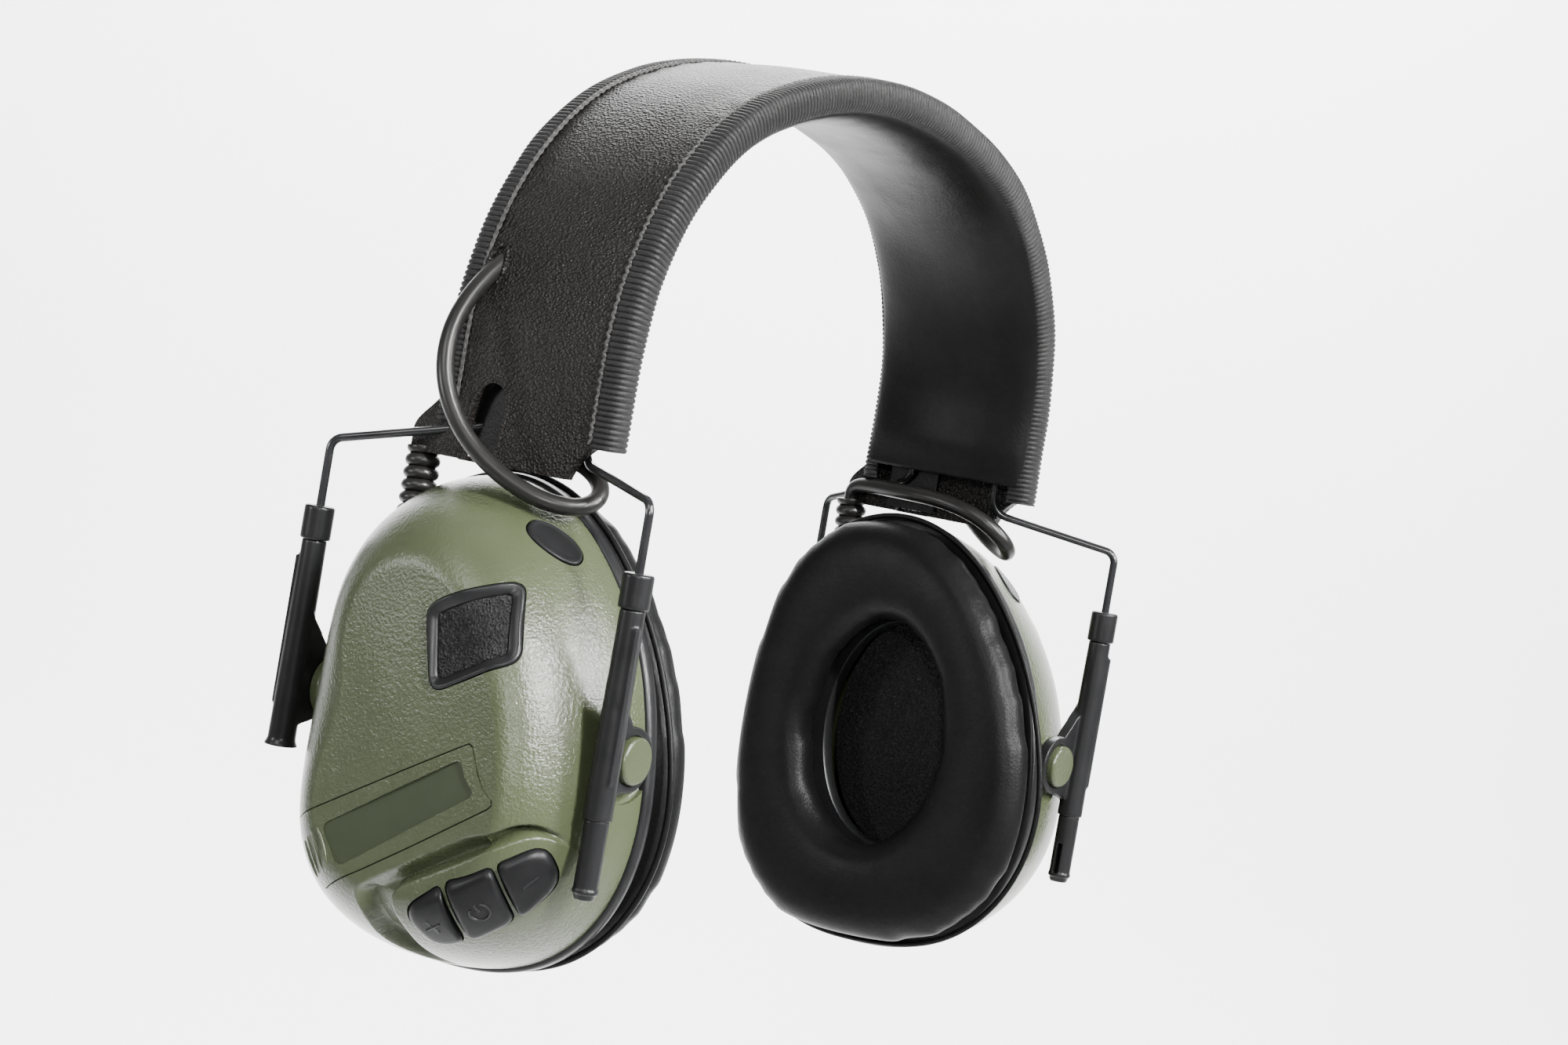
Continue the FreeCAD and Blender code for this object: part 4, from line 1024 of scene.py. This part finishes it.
def slit_lip(side, sign):
    """The turned edge of the slit where the lead comes out of the strip."""
    t = np.linspace(0, 2 * math.pi, 60, endpoint=False)
    along = -reach_to(100.6) + 4.6 * np.sin(t)
    path = on_arch(along, 16.0 + 2.5 * np.cos(t), 5.0 + 0.25 * np.cos(t) ** 2)
    lip = tube(f"{side}_slit_lip", path * np.array([sign, 1, 1]), 0.6, LEATHER, 12, closed=True)
    settle(lip, "headband_leather", "headband")


for side, sign in SIDES:
    slit_lip(side, sign)

# ---------------------------------------------------------------- hard parts with moulded edges


def moulded(node, name, finish, voxel, rounds, body):
    """The CAD part with its edges rounded by moulding."""
    mesh = nodes[node].data.copy()
    work = bmesh.new()
    work.from_mesh(mesh)
    bmesh.ops.remove_doubles(work, verts=work.verts, dist=2e-6)
    work.to_mesh(mesh)
    work.free()
    mesh.materials.clear()
    mesh.materials.append(finish)
    made = link(name, mesh)
    soften(made, voxel, rounds)
    settle(made, SLOT_OF[node], body, node)
    return made


for side in ("right", "left"):
    for end in ("front", "rear"):
        arm, body = f"{side}_arm_{end}", f"{side}_{end}_arm"
        moulded(arm, f"{body}_body", ARM_PLASTIC, 0.3, 5, body)
        moulded(f"{arm}_cap", f"{body}_collar", ARM_PLASTIC, 0.25, 3, body)
    moulded(f"{side}_arm_guide", f"{side}_guide_tube", ARM_PLASTIC, 0.25, 3, f"{side}_front_arm")
    moulded(f"{side}_pivot_buttons", f"{side}_pivot_discs", OLIVE, 0.25, 3, f"{side}_cup")

# ---------------------------------------------------------------- floor, light and camera


# The camera's turn from the wearer's right towards the front, its rise and its distance in metres.
VIEW_TURN, VIEW_RISE, VIEW_AWAY = math.radians(33.5), math.radians(5.5), 0.95

# How far the horizon is tipped, and how far the view's middle lies beside and above the origin.
HORIZON_TIP, VIEW_ASIDE, VIEW_ABOVE = math.radians(9.75), math.radians(1.0774), math.radians(3.0271)


def studio_floor():
    """A pale floor that curves up far behind the object."""
    profile = [(-3.0, -0.8), (1.6, -0.8), (2.2, -0.74), (2.6, -0.5), (2.8, 0.0), (2.85, 3.2)]
    curve = spline([(x, 0, z) for x, z in profile], 10)
    forward = np.array([math.cos(VIEW_TURN), math.sin(VIEW_TURN), 0])
    side = np.array([-forward[1], forward[0], 0])
    rows = []
    for x, _, z in curve:
        rows.append([(forward * x + side * w + (0, 0, z)) * 1000 for w in (-5, 5)])
    points = np.array(rows).reshape(-1, 3)
    floor = make_mesh("studio_floor", points, grid_faces(len(curve), 2, wrap_cols=False), PAPER, sharp=180)


def area_light(name, at, aim, width, height, power, spread=180.0):
    light = bpy.data.lights.new(name, "AREA")
    light.shape, light.size, light.size_y = "RECTANGLE", width, height
    light.energy, light.spread = power, math.radians(spread)
    made = link(name, light)
    made.location = at
    made.rotation_euler = (Vector(aim) - Vector(at)).to_track_quat("-Z", "Z").to_euler()


def studio_camera():
    """A long lens in front of the wearer's right side, with a tipped horizon."""
    flat = math.cos(VIEW_RISE)
    back = Vector((-math.cos(VIEW_TURN) * flat, -math.sin(VIEW_TURN) * flat, math.sin(VIEW_RISE)))
    ahead = -back
    right = ahead.cross(Vector((0, 0, 1))).normalized()
    up = right.cross(ahead)
    looking = Matrix((right, up, back)).transposed()
    tipped = Matrix.Rotation(HORIZON_TIP, 3, "Z")
    origin_seen = Vector((-math.tan(VIEW_ASIDE), -math.tan(VIEW_ABOVE), -1))
    centring = origin_seen.rotation_difference(Vector((0, 0, -1))).to_matrix()
    lens = bpy.data.cameras.new("studio_camera")
    lens.lens, lens.sensor_width = 89.01, 36.0
    made = link("studio_camera", lens)
    made.matrix_world = Matrix.Translation(back * VIEW_AWAY) @ (looking @ tipped @ centring).to_4x4()
    bpy.context.scene.camera = made


studio_floor()
world = bpy.data.worlds.new("studio")
world.use_nodes = True
sky = world.node_tree.nodes["Background"]
sky.inputs["Color"].default_value, sky.inputs["Strength"].default_value = (1, 1, 1, 1), 0.28
bpy.context.scene.world = world
area_light("strip_ahead", (0.40, -1.28, 0.72), (-0.1, -0.03, 0), 0.035, 1.0, 8.5, 60.0)
area_light("strip_beside", (-0.42, -1.22, 0.78), (-0.11, -0.03, 0), 0.035, 0.8, 9.5, 60.0)
area_light("spot_soft", (-1.05, -0.70, 0.34), (-0.12, -0.03, 0), 0.08, 0.08, 6.0)
area_light("key_soft", (-1.5, -0.1, 1.1), (-0.1, 0, 0), 0.7, 0.7, 14)
area_light("leg_sheen", (-0.45, 0.27, 0.105), (-0.095, 0, 0.09), 0.10, 0.06, 0.8)
area_light("top_soft", (0.1, 0.35, 1.2), (0, 0, 0.1), 0.9, 0.9, 1.5)
area_light("backdrop_wash", (1.2, 0.8, 1.6), (2.6, 1.7, 0.0), 2.0, 2.0, 330)
area_light("floor_wash", (1.7, 1.15, 1.8), (1.7, 1.15, -0.3), 1.6, 1.6, 70)
studio_camera()
